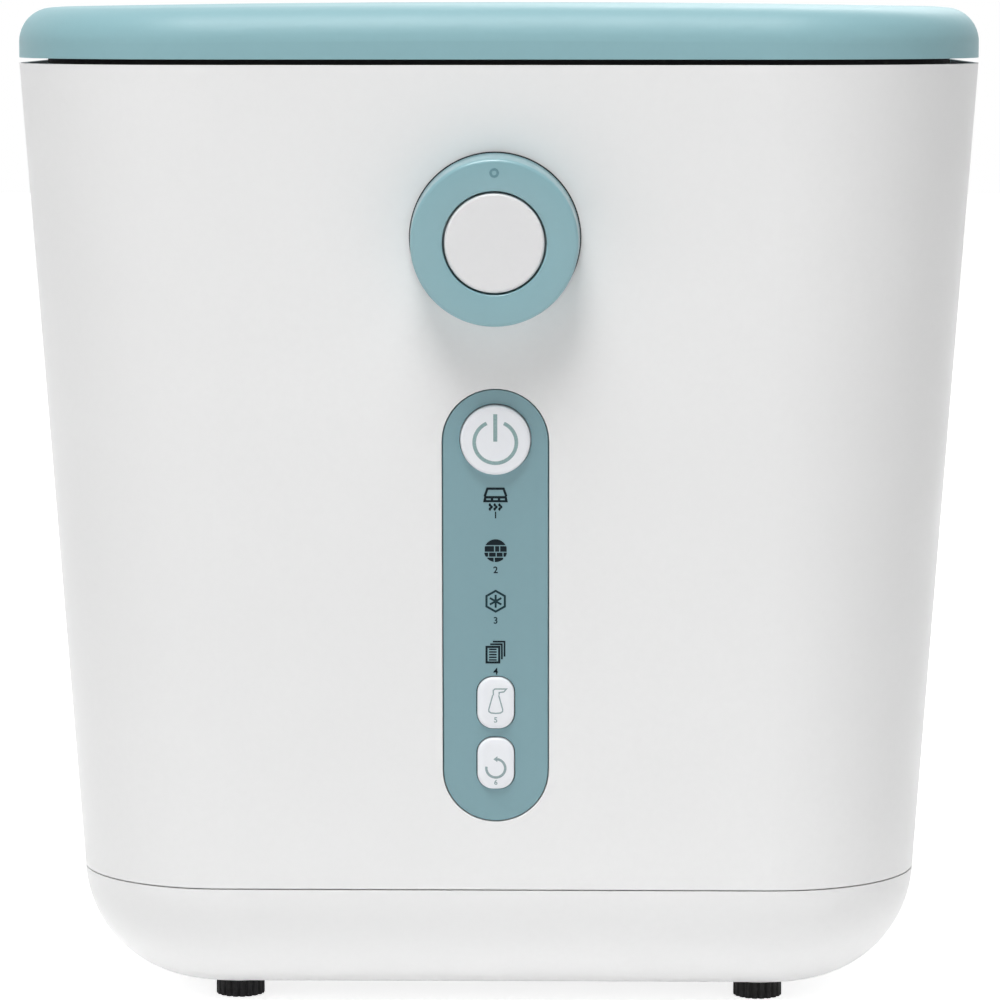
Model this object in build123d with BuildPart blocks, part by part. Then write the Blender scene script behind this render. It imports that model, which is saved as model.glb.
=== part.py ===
from build123d import *
import os
from math import acos, copysign, cos, pi, radians, sin, tan

os.makedirs("parts", exist_ok=True)

# Countertop food waste composter, in millimetres and degrees.
# +Z is up and the front looks towards -Y. The origin is on the floor, under the middle of the body.

# ------------------------------------------------------------------ driving dimensions
# Housing
body_w = 310.0  # width at the rim
body_d = 280.0  # depth at the rim
corner_r = 67.0  # plan radius of the upright corners
draft = 4.0  # lean of all four sides
wall = 3.0
foot_h = 6.0  # rubber foot
foot_pad_h = 1.8  # moulded pad above the foot
base_h = 37.7  # underside to the seam
shell_h = 262.7  # seam to the rim
base_round = 39.0  # radius of the bottom edge
seam_gap = 0.4
fit = 0.2  # clearance between pieces fixed to each other
run = 0.05  # radial clearance of a running shaft
slip = 0.5  # clearance of a piece that slides or lifts out by hand

# Feet
foot_r = 8.0
foot_in_x = 69.0  # feet inside the rim's outline
foot_in_y = 70.0
foot_rim = 2.0  # pad round the foot
foot_flutes = 20
foot_plug_r = 3.0
foot_plug_h = 6.0

# Boards on the base, and the screws that join the shells
lip_t = 1.6
lip_h = 5.0
case_post_r = 6.0
case_post_in_x = 55.0  # case screws inside the rim's outline
case_post_in_y = 92.0
case_boss_h = 18.0
rib_t = 2.5
screw_r = 1.5
screw_l = 10.0
deck_post_in = 19.0  # deck's screws inside the rim
deck_post_y = 45.0
board_z = 26.0
board_post_r = 3.0
board_post_in = 4.0  # posts inside the board's edge
power_board = (62.0, 90.0)
power_board_at = (61.0, -9.0)
control_board = (60.0, 46.0)
control_board_at = (-60.0, -36.0)
transformer = (34.0, 30.0, 26.0)
relay = (14.0, 19.0, 15.0)
capacitor_r = 5.0
capacitor_h = 18.0
processor = (12.0, 12.0, 1.6)
connector = (9.0, 14.0, 8.0)

# Lid
lid_gap = 1.7
lid_h = 17.8
lid_wall = 2.8
lid_round = 11.0
lid_crown = 1.6  # rise of the top from the sides to the middle
lid_post_in_x = 33.0  # liner's screws inside the rim's outline
lid_post_in_y = 52.0
lid_post_r = 3.5
liner_t = 2.5
liner_rise = 1.2  # liner's underside above the lid's lower edge
hinge_x = 82.0
hinge_r = 5.5
hinge_pin_r = 2.0
hinge_eye_w = 14.0
hinge_side = 0.4  # side play between the eyes

striker_w = 16.0
striker_t = 3.0
striker_slot = 8.5
striker_l = 30.0
notch_w = 12.0
notch_h = 6.4

# Deck under the lid
deck_t = 3.0
deck_sink = 11.2  # deck's lower face below the rim
land_w = 6.0  # raised edge of the deck
land_drop = 0.2
seal_w = 3.0
seal_gap = 0.3  # under the liner

# Bucket and heater cup
bucket_y = -12.0  # bucket axis
bucket_r = 86.0  # inside, at the mouth
bucket_taper = 3.0  # loss of radius down to the floor
bucket_wall = 2.0
bucket_floor = 3.0
bucket_flange_w = 9.0
bucket_flange_t = 2.0
cup_gap = 3.0  # air around the bucket
cup_wall = 3.0
cup_drop = 162.2  # cup's underside below the rim
cup_flange_w = 7.0
bar_up = 30.7  # fixed crushing bars above the bucket's floor
bar_h = 9.0
bar_in_r = 31.0  # bars' inner ends from the axis
bail_r = 2.0
bail_in = 2.0  # bail's wire inside the flange's edge
bail_pin_r = 1.5
bail_pin_up = 4.0
bar_w = 12.0
boss_h = 5.0  # bucket's boss around its bush
bush_wall = 3.0

# Rotor
rotor_gap = 1.4  # lower arms above the bucket's floor
hub_r = 17.0
hub_top_r = 10.0
hub_h = 82.0
arm_h = 11.0
arm_root_w = 24.0
arm_tip_w = 13.0
arm_end_gap = 4.0
upper_arm_lift = 42.0
shaft_r = 5.0
tongue_t = 4.4
tongue_h = 5.0

# Gear train
post_x = 60.0  # posts that carry the gear plates
post_r = 6.0
post_clear = 5.5  # middle of a post beyond the motor's side
standoff_in = 9.15  # cup's standoffs inside its outer edge
plate_t = 3.0
plate_drop = 76.0  # lower gear plate under the cup
plate_space = 29.0
layer_1 = 3.0  # first gear layer above the lower plate
layer_2 = 15.0
gear_t = 10.0
fine_module = 1.5
fine_teeth = 36
coarse_module = 2.0
coarse_teeth = 40
pinion_teeth = 12
pressure_angle = 20.0
backlash = 0.3
addendum = 0.95
dedendum = 1.25
bearing_r = 11.0
motor_r = 18.5
motor_h = 54.0
motor_shaft_r = 3.0
axle_r = 3.5
heater_in = 16.0  # heater inside the cup's wall
heater_bore = 22.0
heater_t = 6.0

# Knob and latch
knob_drop = 53.3  # knob axis below the rim
knob_r = 26.0
knob_h = 15.0
knob_gap = 1.0
knob_round = 3.0
cap_r = 15.5
cap_t = 6.0
cap_gap = 0.6
rack_module = 1.0
rack_teeth = 12
rack_t = 4.0
rack_h = 5.0
rack_from = -30.0  # ends of the slider's bar beside the knob's axis
rack_to = 22.0
arm_x = -20.0  # left edge of the slider's arm
arm_w = 11.3
arm_drop = 6.1  # top of the slider's arm under the deck
bolt_x = -13.4
bolt_w = 4.7
bolt_h = 4.0
bolt_reach = 15.0
guide_x = 38.0

# Control panel
panel_drop = 170.5  # panel's middle below the rim
panel_w = 33.0
panel_h = 139.0
panel_sink = 0.4
panel_gap = 0.4
panel_post_pitch = 88.0
panel_lip = 3.0
panel_lip_t = 1.6
power_r = 11.0
power_up = 53.8  # power button above the panel's middle
power_proud = 2.2
key_w = 11.7
key_h = 16.6
key_r = 5.0
clean_down = 30.9
reset_down = 50.6
key_proud = 1.2
key_gap = 0.3
press = 1.2  # travel of a button
board_depth = 12.0  # front of the display board behind the wall's face
board_t = 1.6
switch_h = 4.0
icon_ups = (35.8, 18.2, 1.9, -14.6)

# Rear: filter bay, fan, inlet
bay_drop = 98.0  # middle of the filter door below the rim
door_w = 138.0
door_h = 98.0
door_t = 3.0
tray_depth = 27.0
tray_wall = 2.0
bay_wall = 2.0
grip_w = 44.0
grip_h = 16.0
grip_depth = 11.0
grip_down = 18.0  # grip's middle under the door's upper edge
door_lap = 1.5  # door beyond the bay on each side
tray_back = 12.0  # carbon block behind the door
tray_slots = 10
vent_depth = 19.0
vent_w = 50.0
fan_drop = 190.0
fan_size = 60.0
fan_t = 15.0
fan_r = 27.0
fan_blades = 7
fan_hub_r = 10.5
fan_pin_r = 1.5
fan_pin_l = 8.0
grille_size = 66.0
grille_bars = 9
grille_slot = 3.2
grille_pitch = 5.6
port_w = 60.0
port_d = 12.0
port_in = 27.0  # exhaust port inside the rim's outline
duct_wall = 1.5
inlet_x = -70.0
inlet_drop = 228.0
inlet_w = 27.0
inlet_h = 19.0
inlet_l = 18.0
inlet_rim = 2.5
inlet_rim_t = 2.0
inlet_wall = 1.5
inlet_cut = 5.0  # slanted upper corners of the mouth

# ------------------------------------------------------------------ levels and shared places
base_z = foot_h + foot_pad_h
seam_z = base_z + base_h
rim_z = seam_z + shell_h
lid_z = rim_z + lid_gap
liner_z = lid_z + liner_rise
deck_z = rim_z - deck_sink
deck_top = deck_z + deck_t
floor_z = base_z + wall
hinge_z = rim_z + 0.8
knob_z = rim_z - knob_drop
panel_z = rim_z - panel_drop
bay_z = rim_z - bay_drop
fan_z = rim_z - fan_drop
inlet_z = rim_z - inlet_drop
port_y = body_d / 2 - port_in
cup_floor_z = rim_z - cup_drop
lower_plate_z = cup_floor_z - plate_drop
upper_plate_z = lower_plate_z + plate_t + plate_space
bucket_z = cup_floor_z + cup_wall + 0.3
bucket_top = deck_top + bucket_flange_t
bucket_in_z = bucket_z + bucket_floor
bar_z = bucket_in_z + bar_up
bush_top = bucket_in_z + boss_h + 0.3
hub_z = bucket_in_z + rotor_gap
well_r = 4.2
well_z = seam_z - 7.0
bush_r = shaft_r + bush_wall
mouth_r = bucket_r + bucket_wall
hole_r = mouth_r + 1.0
cup_r = mouth_r + cup_gap
flange_r = mouth_r + bucket_flange_w
bail_ring = flange_r - bail_in
heater_r = cup_r - heater_in
standoff_ring = cup_r + cup_wall - standoff_in
floor_r = bucket_r - bucket_taper
thrust_z = bush_top + 0.2
skirt_r = bush_r + 4.4  # rotor's hollow over the bucket's boss
dog_z = cup_floor_z - tongue_h
layer_1_z = lower_plate_z + plate_t + layer_1
layer_2_z = lower_plate_z + plate_t + layer_2
hub_top = hub_z + hub_h
striker_y = -body_d / 2 + 18.5
idler_x = -coarse_module * (coarse_teeth + pinion_teeth) / 2
motor_y = bucket_y + fine_module * (fine_teeth + pinion_teeth) / 2
post_y = motor_y - bucket_y + motor_r + post_clear
lean = radians(draft)
arm_up = knob_drop - deck_sink - arm_drop
notch_z = knob_z + (arm_up - bolt_h) * cos(lean) - fit
foot_x = body_w / 2 - foot_in_x
foot_y = body_d / 2 - foot_in_y
case_post_x = body_w / 2 - case_post_in_x
case_post_y = body_d / 2 - case_post_in_y
lid_post_x = body_w / 2 - lid_post_in_x
lid_post_y = body_d / 2 - lid_post_in_y

corners = [(x, bucket_y + y) for x in (-post_x, post_x) for y in (-post_y, post_y)]
feet_at = [(x, y) for x in (-foot_x, foot_x) for y in (-foot_y, foot_y)]
case_posts = [(x, y) for x in (-case_post_x, case_post_x) for y in (-case_post_y, case_post_y)]
side_post_x = body_w / 2 - deck_post_in
end_post_y = body_d / 2 - deck_post_in
side_posts = [(x, y) for x in (-side_post_x, side_post_x) for y in (-deck_post_y, deck_post_y)]
end_posts = [(x, y) for x in (-post_x, post_x) for y in (-end_post_y, end_post_y)]
deck_posts = side_posts + end_posts
lid_corners = [(x, y) for x in (-lid_post_x, lid_post_x) for y in (-lid_post_y, lid_post_y)]
lid_posts = lid_corners + [(0.0, lid_post_y)]
STANDING = (Align.CENTER, Align.CENTER, Align.MIN)


def inset(z):
    """How far the leaning sides stand inside the rim's outline at height z."""
    return (rim_z - z) * tan(lean)


def wall_y(z):
    """Distance of the front and rear wall's outer face from the middle at height z."""
    return body_d / 2 - inset(z)


def leaning(low, high, gap=0.0):
    """Solid with the body's leaning sides between two heights, drawn in by gap."""
    drawn = inset(low) + gap
    with BuildPart() as solid:
        with BuildSketch(Plane.XY.offset(low)):
            RectangleRounded(body_w - 2 * drawn, body_d - 2 * drawn, corner_r - drawn)
        extrude(amount=high - low, taper=-draft)
    return solid.part


def rim_outline(z, gap=0.0):
    """Plan outline of the rim, drawn in by gap, at height z."""
    with BuildSketch(Plane.XY.offset(z)) as sketch:
        RectangleRounded(body_w - 2 * gap, body_d - 2 * gap, corner_r - gap)
    return sketch.sketch


def front(z, depth=0.0, x=0.0, up=0.0):
    """Plane on the front wall at height z, facing out, moved in by depth and up the wall."""
    plane = Plane(
        origin=(x, -wall_y(z), z),
        x_dir=(1, 0, 0),
        z_dir=(0, -cos(lean), -sin(lean)),
    )
    return plane.offset(-depth).move(Location((0, -up * sin(lean), up * cos(lean))))


def rear(z, depth=0.0, x=0.0):
    """Plane on the rear wall at height z, facing out, moved in by depth."""
    plane = Plane(
        origin=(x, wall_y(z), z),
        x_dir=(-1, 0, 0),
        z_dir=(0, cos(lean), -sin(lean)),
    )
    return plane.offset(-depth)


def front_section(z):
    """Plane across the front wall: x to the right, y straight out of the wall."""
    return Plane(
        origin=(0, -wall_y(z), z),
        x_dir=(1, 0, 0),
        z_dir=(0, sin(lean), -cos(lean)),
    )


def upright(x=0.0, y=bucket_y):
    """XZ plane through the vertical axis at x, y."""
    return Plane(origin=(x, y, 0), x_dir=(1, 0, 0), z_dir=(0, -1, 0))


def axis_at(x=0.0, y=bucket_y):
    return Axis((x, y, 0), (0, 0, 1))


def half_tooth(module, teeth, radius):
    """Half angle of an involute tooth at a radius."""
    pitch_r = module * teeth / 2
    base_r = pitch_r * cos(radians(pressure_angle))
    roll = acos(min(1.0, base_r / max(radius, base_r)))
    start = tan(radians(pressure_angle)) - radians(pressure_angle)
    middle = pi / (2 * teeth) - backlash * module / 4 / pitch_r
    return middle + start - (tan(roll) - roll)


def gear_points(module, teeth, turn):
    """Corners of a spur gear; turn is the angle of the middle of a tooth."""
    pitch_r = module * teeth / 2
    radii = (
        pitch_r - dedendum * module,
        pitch_r - 0.4 * module,
        pitch_r + 0.3 * module,
        pitch_r + addendum * module,
    )
    points = []
    for tooth in range(teeth):
        middle = radians(turn) + 2 * pi * tooth / teeth
        for side, order in ((-1, radii), (1, radii[::-1])):
            for radius in order:
                angle = middle + side * half_tooth(module, teeth, radius)
                points.append((radius * cos(angle), radius * sin(angle)))
    return points


def hinge_eye(x, width, upper):
    """A hinge eye with its web to the wall; upper is for the lid, else for the body."""
    foot_y_in = body_d / 2 - lid_wall
    if upper:
        web = (
            (foot_y_in, lid_z + 1.0),
            (hinge_y, hinge_z),
            (hinge_y + hinge_r * cos(0.6), hinge_z + hinge_r * sin(0.6)),
            (foot_y_in, lid_z + 10.0),
        )
    else:
        web = (
            (foot_y_in, rim_z - 1.0),
            (hinge_y, hinge_z),
            (hinge_y + hinge_r * cos(0.6), hinge_z - hinge_r * sin(0.6)),
            (foot_y_in, rim_z - 20.0),
        )
    with BuildPart() as eye:
        with BuildSketch(Plane.YZ.offset(x - width / 2)):
            with BuildLine():
                Polyline(*web, close=True)
            make_face()
            with Locations((hinge_y, hinge_z)):
                Circle(hinge_r)
        extrude(amount=width)
    return eye.part


# The hinge stands as far behind the body as the knob stands in front of it.
knob_reach = (
    wall_y(knob_z)
    + (knob_h - knob_round) * cos(lean)
    + (knob_r - knob_round) * sin(lean)
    + knob_round
)
hinge_y = knob_reach - hinge_r
hinge_pitch = hinge_eye_w + hinge_side

# ------------------------------------------------------------------ housing shells
with BuildPart() as outer_shell:
    boss_z = seam_z + seam_gap / 2
    add(leaning(boss_z, rim_z))
    add(leaning(boss_z, rim_z, wall), mode=Mode.SUBTRACT)
    # bosses for the deck's screws, each with a rib to the wall
    rib_low = deck_z - 22.0
    rib_end = inset(rib_low) + wall / 2
    with Locations(*[(x, y, rib_low) for x, y in deck_posts]):
        Cylinder(4.0, deck_z - rib_low, align=STANDING)
    reach = deck_post_in - rib_end
    with Locations(*[(x + copysign(reach / 2, x), y, rib_low) for x, y in side_posts]):
        Box(reach, rib_t, deck_z - rib_low, align=STANDING)
    with Locations(*[(x, y + copysign(reach / 2, y), rib_low) for x, y in end_posts]):
        Box(rib_t, reach, deck_z - rib_low, align=STANDING)
    # bosses for the case screws, each with a rib to the side wall above the base's lip
    case_rib_z = seam_z + lip_h + 1.0
    case_rib_h = boss_z + case_boss_h - case_rib_z
    reach = case_post_in_x - inset(case_rib_z) - wall / 2
    with Locations(*[(x, y, boss_z) for x, y in case_posts]):
        Cylinder(case_post_r, case_boss_h, align=STANDING)
    with Locations(*[(x + copysign(reach / 2, x), y, case_rib_z) for x, y in case_posts]):
        Box(reach, rib_t, case_rib_h, align=STANDING)
    with Locations(*[(x, y, boss_z) for x, y in case_posts]):
        Cylinder(screw_r + 0.1, case_boss_h - 3.0, align=STANDING, mode=Mode.SUBTRACT)
    with Locations(*[(x, y, deck_z - screw_l) for x, y in deck_posts]):
        Cylinder(screw_r + 0.1, screw_l, align=STANDING, mode=Mode.SUBTRACT)
    # control panel, knob bush, filter door, fan grille and power inlet
    with BuildSketch(front(panel_z)):
        SlotOverall(panel_h + 2 * panel_gap, panel_w + 2 * panel_gap, rotation=90)
    with BuildSketch(front(knob_z)):
        Circle(bush_r + fit / 2)
    with BuildSketch(rear(bay_z)):
        RectangleRounded(door_w + 2 * slip, door_h + 2 * slip, 6.0)
    with BuildSketch(rear(fan_z)):
        RectangleRounded(grille_size + 2 * fit, grille_size + 2 * fit, 8.0)
    with BuildSketch(rear(inlet_z, x=inlet_x)):
        Rectangle(inlet_w + 2 * fit, inlet_h + 2 * fit)
    extrude(amount=1.5 * wall, both=True, mode=Mode.SUBTRACT)
    # outer pairs of hinge eyes
    for side in (-1, 1):
        for eye_x in (-hinge_pitch, hinge_pitch):
            add(hinge_eye(side * hinge_x + eye_x, hinge_eye_w, upper=False))
    with BuildSketch(Plane.YZ):
        with Locations((hinge_y, hinge_z)):
            Circle(hinge_pin_r + run)
    extrude(amount=body_w / 2, both=True, mode=Mode.SUBTRACT)

outer_shell.part.label = "outer_shell"
export_step(outer_shell.part, "parts/outer_shell.step")

with BuildPart() as base_shell:
    seat = seam_z - seam_gap / 2
    add(leaning(base_z, seat))
    fillet(faces().sort_by(Axis.Z)[0].edges(), base_round)
    with BuildPart(mode=Mode.PRIVATE) as hollow:
        add(leaning(floor_z, seam_z, wall))
        fillet(faces().sort_by(Axis.Z)[0].edges(), base_round - wall)
        with Locations(*[(x, y, base_z) for x, y in case_posts]):
            Cylinder(case_post_r, base_h, align=STANDING, mode=Mode.SUBTRACT)
    add(hollow.part, mode=Mode.SUBTRACT)
    # lip that reaches up inside the outer shell
    lip_steps = (
        (seat - lip_h, seat, wall - 0.5),
        (seat - 1.0, seat + lip_h, wall + fit),
    )
    for low, high, gap in lip_steps:
        with BuildPart(mode=Mode.PRIVATE) as collar:
            add(leaning(low, high, gap))
            add(leaning(low, high, wall + lip_t), mode=Mode.SUBTRACT)
        add(collar.part)
    # posts for the gear train and for the screws that hold the outer shell
    for x, y in corners:
        with Locations((x, y, floor_z - 1.0)):
            Cylinder(post_r, lower_plate_z - floor_z + 1.0, align=STANDING)
    # board posts
    for centre, size in ((power_board_at, power_board), (control_board_at, control_board)):
        with Locations((*centre, floor_z - 1.0)):
            with GridLocations(size[0] - 2 * board_post_in, size[1] - 2 * board_post_in, 2, 2):
                Cylinder(board_post_r, board_z - floor_z + 1.0, align=STANDING)
    # pads above the feet, with the feet's sockets, and the screw wells
    with Locations(*[(x, y, foot_h) for x, y in feet_at]):
        Cylinder(foot_r + foot_rim, foot_pad_h + 0.5, align=STANDING)
    with Locations(*[(x, y, foot_h) for x, y in feet_at]):
        Cylinder(foot_plug_r + run, foot_plug_h, align=STANDING, mode=Mode.SUBTRACT)
    with Locations(*[(x, y, base_z - 1.0) for x, y in case_posts]):
        Cylinder(well_r, well_z - base_z + 1.0, align=STANDING, mode=Mode.SUBTRACT)
    with Locations(*[(x, y, well_z - 1.0) for x, y in case_posts]):
        Cylinder(screw_r + 0.1, screw_l, align=STANDING, mode=Mode.SUBTRACT)

base_shell.part.label = "base_shell"
export_step(base_shell.part, "parts/base_shell.step")

# ------------------------------------------------------------------ deck, seal and screws
with BuildPart() as top_deck:
    add(leaning(deck_z, rim_z - land_drop, wall + fit))
    extrude(rim_outline(deck_top, wall + land_w), amount=deck_sink, mode=Mode.SUBTRACT)
    with BuildSketch(Plane.XY.offset(deck_z)):
        with Locations((0, bucket_y)):
            Circle(hole_r)
        with Locations((0, striker_y)):
            RectangleRounded(striker_w + 4.0, striker_slot, 1.5)
        with Locations((0, port_y)):
            SlotOverall(port_w, port_d)
        with Locations(*deck_posts):
            Circle(screw_r + fit)
    extrude(amount=deck_t, mode=Mode.SUBTRACT)

top_deck.part.label = "top_deck"
export_step(top_deck.part, "parts/top_deck.step")

with BuildPart() as deck_seal:
    seal_in = wall + land_w + fit
    seal_h = liner_z - seal_gap - deck_top
    extrude(rim_outline(deck_top, seal_in), amount=seal_h)
    extrude(rim_outline(deck_top, seal_in + seal_w), amount=seal_h, mode=Mode.SUBTRACT)

deck_seal.part.label = "deck_seal"
export_step(deck_seal.part, "parts/deck_seal.step")

with BuildPart() as deck_screws:
    with Locations(*[(x, y, deck_top) for x, y in deck_posts]):
        Cylinder(2.0 * screw_r, screw_r, align=STANDING)
        Cylinder(screw_r, 2 * (screw_l - 2.0))

deck_screws.part.label = "deck_screws"
export_step(deck_screws.part, "parts/deck_screws.step")

with BuildPart() as case_screws:
    with Locations(*[(x, y, well_z - 2.5) for x, y in case_posts]):
        Cylinder(2.4 * screw_r, 2.5, align=STANDING)
        Cylinder(screw_r, screw_l + 10.0, align=STANDING)

case_screws.part.label = "case_screws"
export_step(case_screws.part, "parts/case_screws.step")

with BuildPart() as feet:
    with BuildSketch():
        with Locations(*feet_at):
            Circle(foot_r)
            with PolarLocations(foot_r + 0.1, foot_flutes):
                RegularPolygon(0.8, 4, mode=Mode.SUBTRACT)
    extrude(amount=foot_h)
    with Locations(*[(x, y, foot_h) for x, y in feet_at]):
        Cylinder(foot_plug_r, foot_plug_h - 0.4, align=STANDING)

feet.part.label = "feet"
export_step(feet.part, "parts/feet.step")

# ------------------------------------------------------------------ bucket and its surroundings
with BuildPart() as heater_cup:
    with BuildSketch(upright()):
        with BuildLine():
            FilletPolyline(
                (bearing_r + 1.0, cup_floor_z),
                (cup_r + cup_wall, cup_floor_z),
                (cup_r + cup_wall, deck_z - 2.0),
                (cup_r + cup_wall + cup_flange_w, deck_z - 2.0),
                (cup_r + cup_wall + cup_flange_w, deck_z),
                (cup_r, deck_z),
                (cup_r, cup_floor_z + cup_wall),
                (bearing_r + 1.0, cup_floor_z + cup_wall),
                close=True,
                radius=(0, 6.0, 2.0, 0, 0, 0, 3.5, 0),
            )
        make_face()
    revolve(axis=axis_at())

heater_cup.part.label = "heater_cup"
export_step(heater_cup.part, "parts/heater_cup.step")

with BuildPart() as bucket:
    with BuildSketch(upright()):
        with BuildLine():
            FilletPolyline(
                (bush_r, bucket_z),
                (floor_r + bucket_wall, bucket_z),
                (mouth_r, deck_top),
                (flange_r, deck_top),
                (flange_r, bucket_top),
                (bucket_r, bucket_top),
                (floor_r, bucket_in_z),
                (bush_r + 3.0, bucket_in_z),
                (bush_r + 3.0, bucket_in_z + boss_h),
                (bush_r, bucket_in_z + boss_h),
                close=True,
                radius=(0, 7.0, 0, 0.9, 0.9, 1.5, 5.0, 0, 1.0, 0),
            )
        make_face()
    revolve(axis=axis_at())
    # fixed bars, cast into the wall, that the rotor's arms crush against
    for turn in (45.0, 135.0, 225.0, 315.0):
        out = (cos(radians(turn)), sin(radians(turn)), 0)
        side = (-out[1], out[0], 0)
        start = (out[0] * bar_in_r, bucket_y + out[1] * bar_in_r, bar_z)
        with BuildSketch(Plane(origin=start, x_dir=side, z_dir=out)):
            Trapezoid(bar_w, bar_h, 72.0, rotation=0)
        extrude(amount=floor_r - bar_in_r + 1.2)
    # lugs with the pins that the bail hangs on
    for side in (-1, 1):
        with Locations((side * (bail_ring - 3.2), bucket_y, bucket_top)):
            Box(2.0, 8.0, bail_pin_up + 3.0, align=STANDING)
        with BuildSketch(Plane.YZ.offset(side * (bail_ring - 2.6))):
            with Locations((bucket_y, bucket_top + bail_pin_up)):
                Circle(bail_pin_r)
        extrude(amount=side * 3.0)

bucket.part.label = "bucket"
export_step(bucket.part, "parts/bucket.step")

with BuildPart() as bucket_handle:
    wire_z = bucket_top + bail_r + 0.1
    with BuildLine() as bail_path:
        CenterArc((0, bucket_y, wire_z), bail_ring, 182.0, 176.0)
    with BuildSketch(Plane(origin=bail_path.line @ 0, z_dir=bail_path.line % 0)):
        Circle(bail_r)
    sweep(path=bail_path.line)
    for side in (-1, 1):
        with BuildSketch(Plane.YZ.offset(side * bail_ring)):
            with Locations((bucket_y, bucket_top + bail_pin_up)):
                Circle(bail_pin_up - 0.2)
        extrude(amount=1.0, both=True)
        with BuildSketch(Plane.YZ.offset(side * bail_ring)):
            with Locations((bucket_y, bucket_top + bail_pin_up)):
                Circle(bail_pin_r + 0.1)
        extrude(amount=4.0, both=True, mode=Mode.SUBTRACT)

bucket_handle.part.label = "bucket_handle"
export_step(bucket_handle.part, "parts/bucket_handle.step")

with BuildPart() as bucket_bush:
    with BuildSketch(Plane.XY.offset(bucket_z)):
        with Locations((0, bucket_y)):
            Circle(bush_r - 0.02)
            Circle(shaft_r + run, mode=Mode.SUBTRACT)
    extrude(amount=bush_top - bucket_z)

bucket_bush.part.label = "bucket_bush"
export_step(bucket_bush.part, "parts/bucket_bush.step")

with BuildPart() as heater_plate:
    with BuildSketch(Plane.XY.offset(cup_floor_z - heater_t)):
        with Locations((0, bucket_y)):
            Circle(heater_r)
            Circle(heater_bore, mode=Mode.SUBTRACT)
            with PolarLocations((heater_r + heater_bore) / 2, 4, start_angle=45.0):
                Circle(3.0, mode=Mode.SUBTRACT)
    extrude(amount=heater_t)
    # the two ends of the element
    with Locations((heater_r - 12.0, bucket_y - 6.0, cup_floor_z - heater_t)):
        Box(5.0, 3.0, 16.0, align=(Align.CENTER, Align.CENTER, Align.MAX))
    with Locations((heater_r - 12.0, bucket_y + 6.0, cup_floor_z - heater_t)):
        Box(5.0, 3.0, 16.0, align=(Align.CENTER, Align.CENTER, Align.MAX))

heater_plate.part.label = "heater_plate"
export_step(heater_plate.part, "parts/heater_plate.step")

with BuildPart() as thermal_sensor:
    with Locations((0, bucket_y - heater_r - 10.0, cup_floor_z)):
        Cylinder(7.0, 6.0, align=(Align.CENTER, Align.CENTER, Align.MAX))
        Cylinder(4.0, 11.0, align=(Align.CENTER, Align.CENTER, Align.MAX))

thermal_sensor.part.label = "thermal_sensor"
export_step(thermal_sensor.part, "parts/thermal_sensor.step")

# ------------------------------------------------------------------ rotor
with BuildPart() as grinding_rotor:
    with BuildSketch(upright()):
        with BuildLine():
            FilletPolyline(
                (0, cup_floor_z + 0.5),
                (shaft_r, cup_floor_z + 0.5),
                (shaft_r, thrust_z),
                (skirt_r, thrust_z),
                (skirt_r, hub_z),
                (hub_r, hub_z),
                (hub_top_r, hub_top),
                (0, hub_top),
                close=True,
                radius=(0, 0, 0, 0, 0, 1.0, 3.0, 0),
            )
        make_face()
    revolve(axis=axis_at())
    # tongue that drops into the slot of the drive shaft
    with Locations((0, bucket_y, cup_floor_z + 0.5)):
        Box(
            2 * shaft_r - 1.4,
            tongue_t,
            tongue_h,
            align=(Align.CENTER, Align.CENTER, Align.MAX),
        )
    # lower arms sweep the floor, upper arms pass over the fixed bars
    levels = (
        (0.0, hub_z, arm_h, skirt_r + 0.8),
        (60.0, hub_z + upper_arm_lift, arm_h - 2.0, shaft_r),
    )
    for first, z, height, arm_root_r in levels:
        for arm in range(3):
            turn = radians(first + 120.0 * arm)
            out = (cos(turn), sin(turn), 0)
            side = (-out[1], out[0], 0)
            ends = []
            for reach, width in ((arm_root_r, arm_root_w), (floor_r - arm_end_gap, arm_tip_w)):
                at = (out[0] * reach, bucket_y + out[1] * reach, z)
                with BuildSketch(Plane(origin=at, x_dir=side, z_dir=out)) as end:
                    with BuildLine():
                        Polyline(
                            (-width / 2, 0),
                            (width / 2, 0),
                            (width / 2, height * 0.3),
                            (-width / 8, height),
                            (-width / 2, height),
                            close=True,
                        )
                    make_face()
                ends.append(end.sketch)
            loft(ends, ruled=True)

grinding_rotor.part.label = "grinding_rotor"
export_step(grinding_rotor.part, "parts/grinding_rotor.step")

with BuildPart() as rotor_cap:
    with BuildSketch(upright()):
        with BuildLine():
            FilletPolyline(
                (0, hub_top),
                (hub_top_r - 3.2, hub_top),
                (hub_top_r - 3.2, hub_top + 7.0),
                (0, hub_top + 8.0),
                close=True,
                radius=(0, 0, 2.0, 0),
            )
        make_face()
    revolve(axis=axis_at())

rotor_cap.part.label = "rotor_cap"
export_step(rotor_cap.part, "parts/rotor_cap.step")

# ------------------------------------------------------------------ drive
with BuildPart() as gear_plate_lower:
    with BuildSketch(Plane.XY.offset(lower_plate_z)):
        with Locations(*corners):
            Circle(post_r + 3.0)
        with Locations((idler_x, bucket_y)):
            Circle(fine_module * fine_teeth / 2 + 5.0)
        make_hull()
        with Locations((0, bucket_y)):
            Circle(bearing_r, mode=Mode.SUBTRACT)
        with Locations((idler_x, bucket_y)):
            Circle(axle_r, mode=Mode.SUBTRACT)
        with Locations((idler_x, motor_y)):
            Circle(2.5 * motor_shaft_r, mode=Mode.SUBTRACT)
    extrude(amount=plate_t)

gear_plate_lower.part.label = "gear_plate_lower"
export_step(gear_plate_lower.part, "parts/gear_plate_lower.step")

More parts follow.
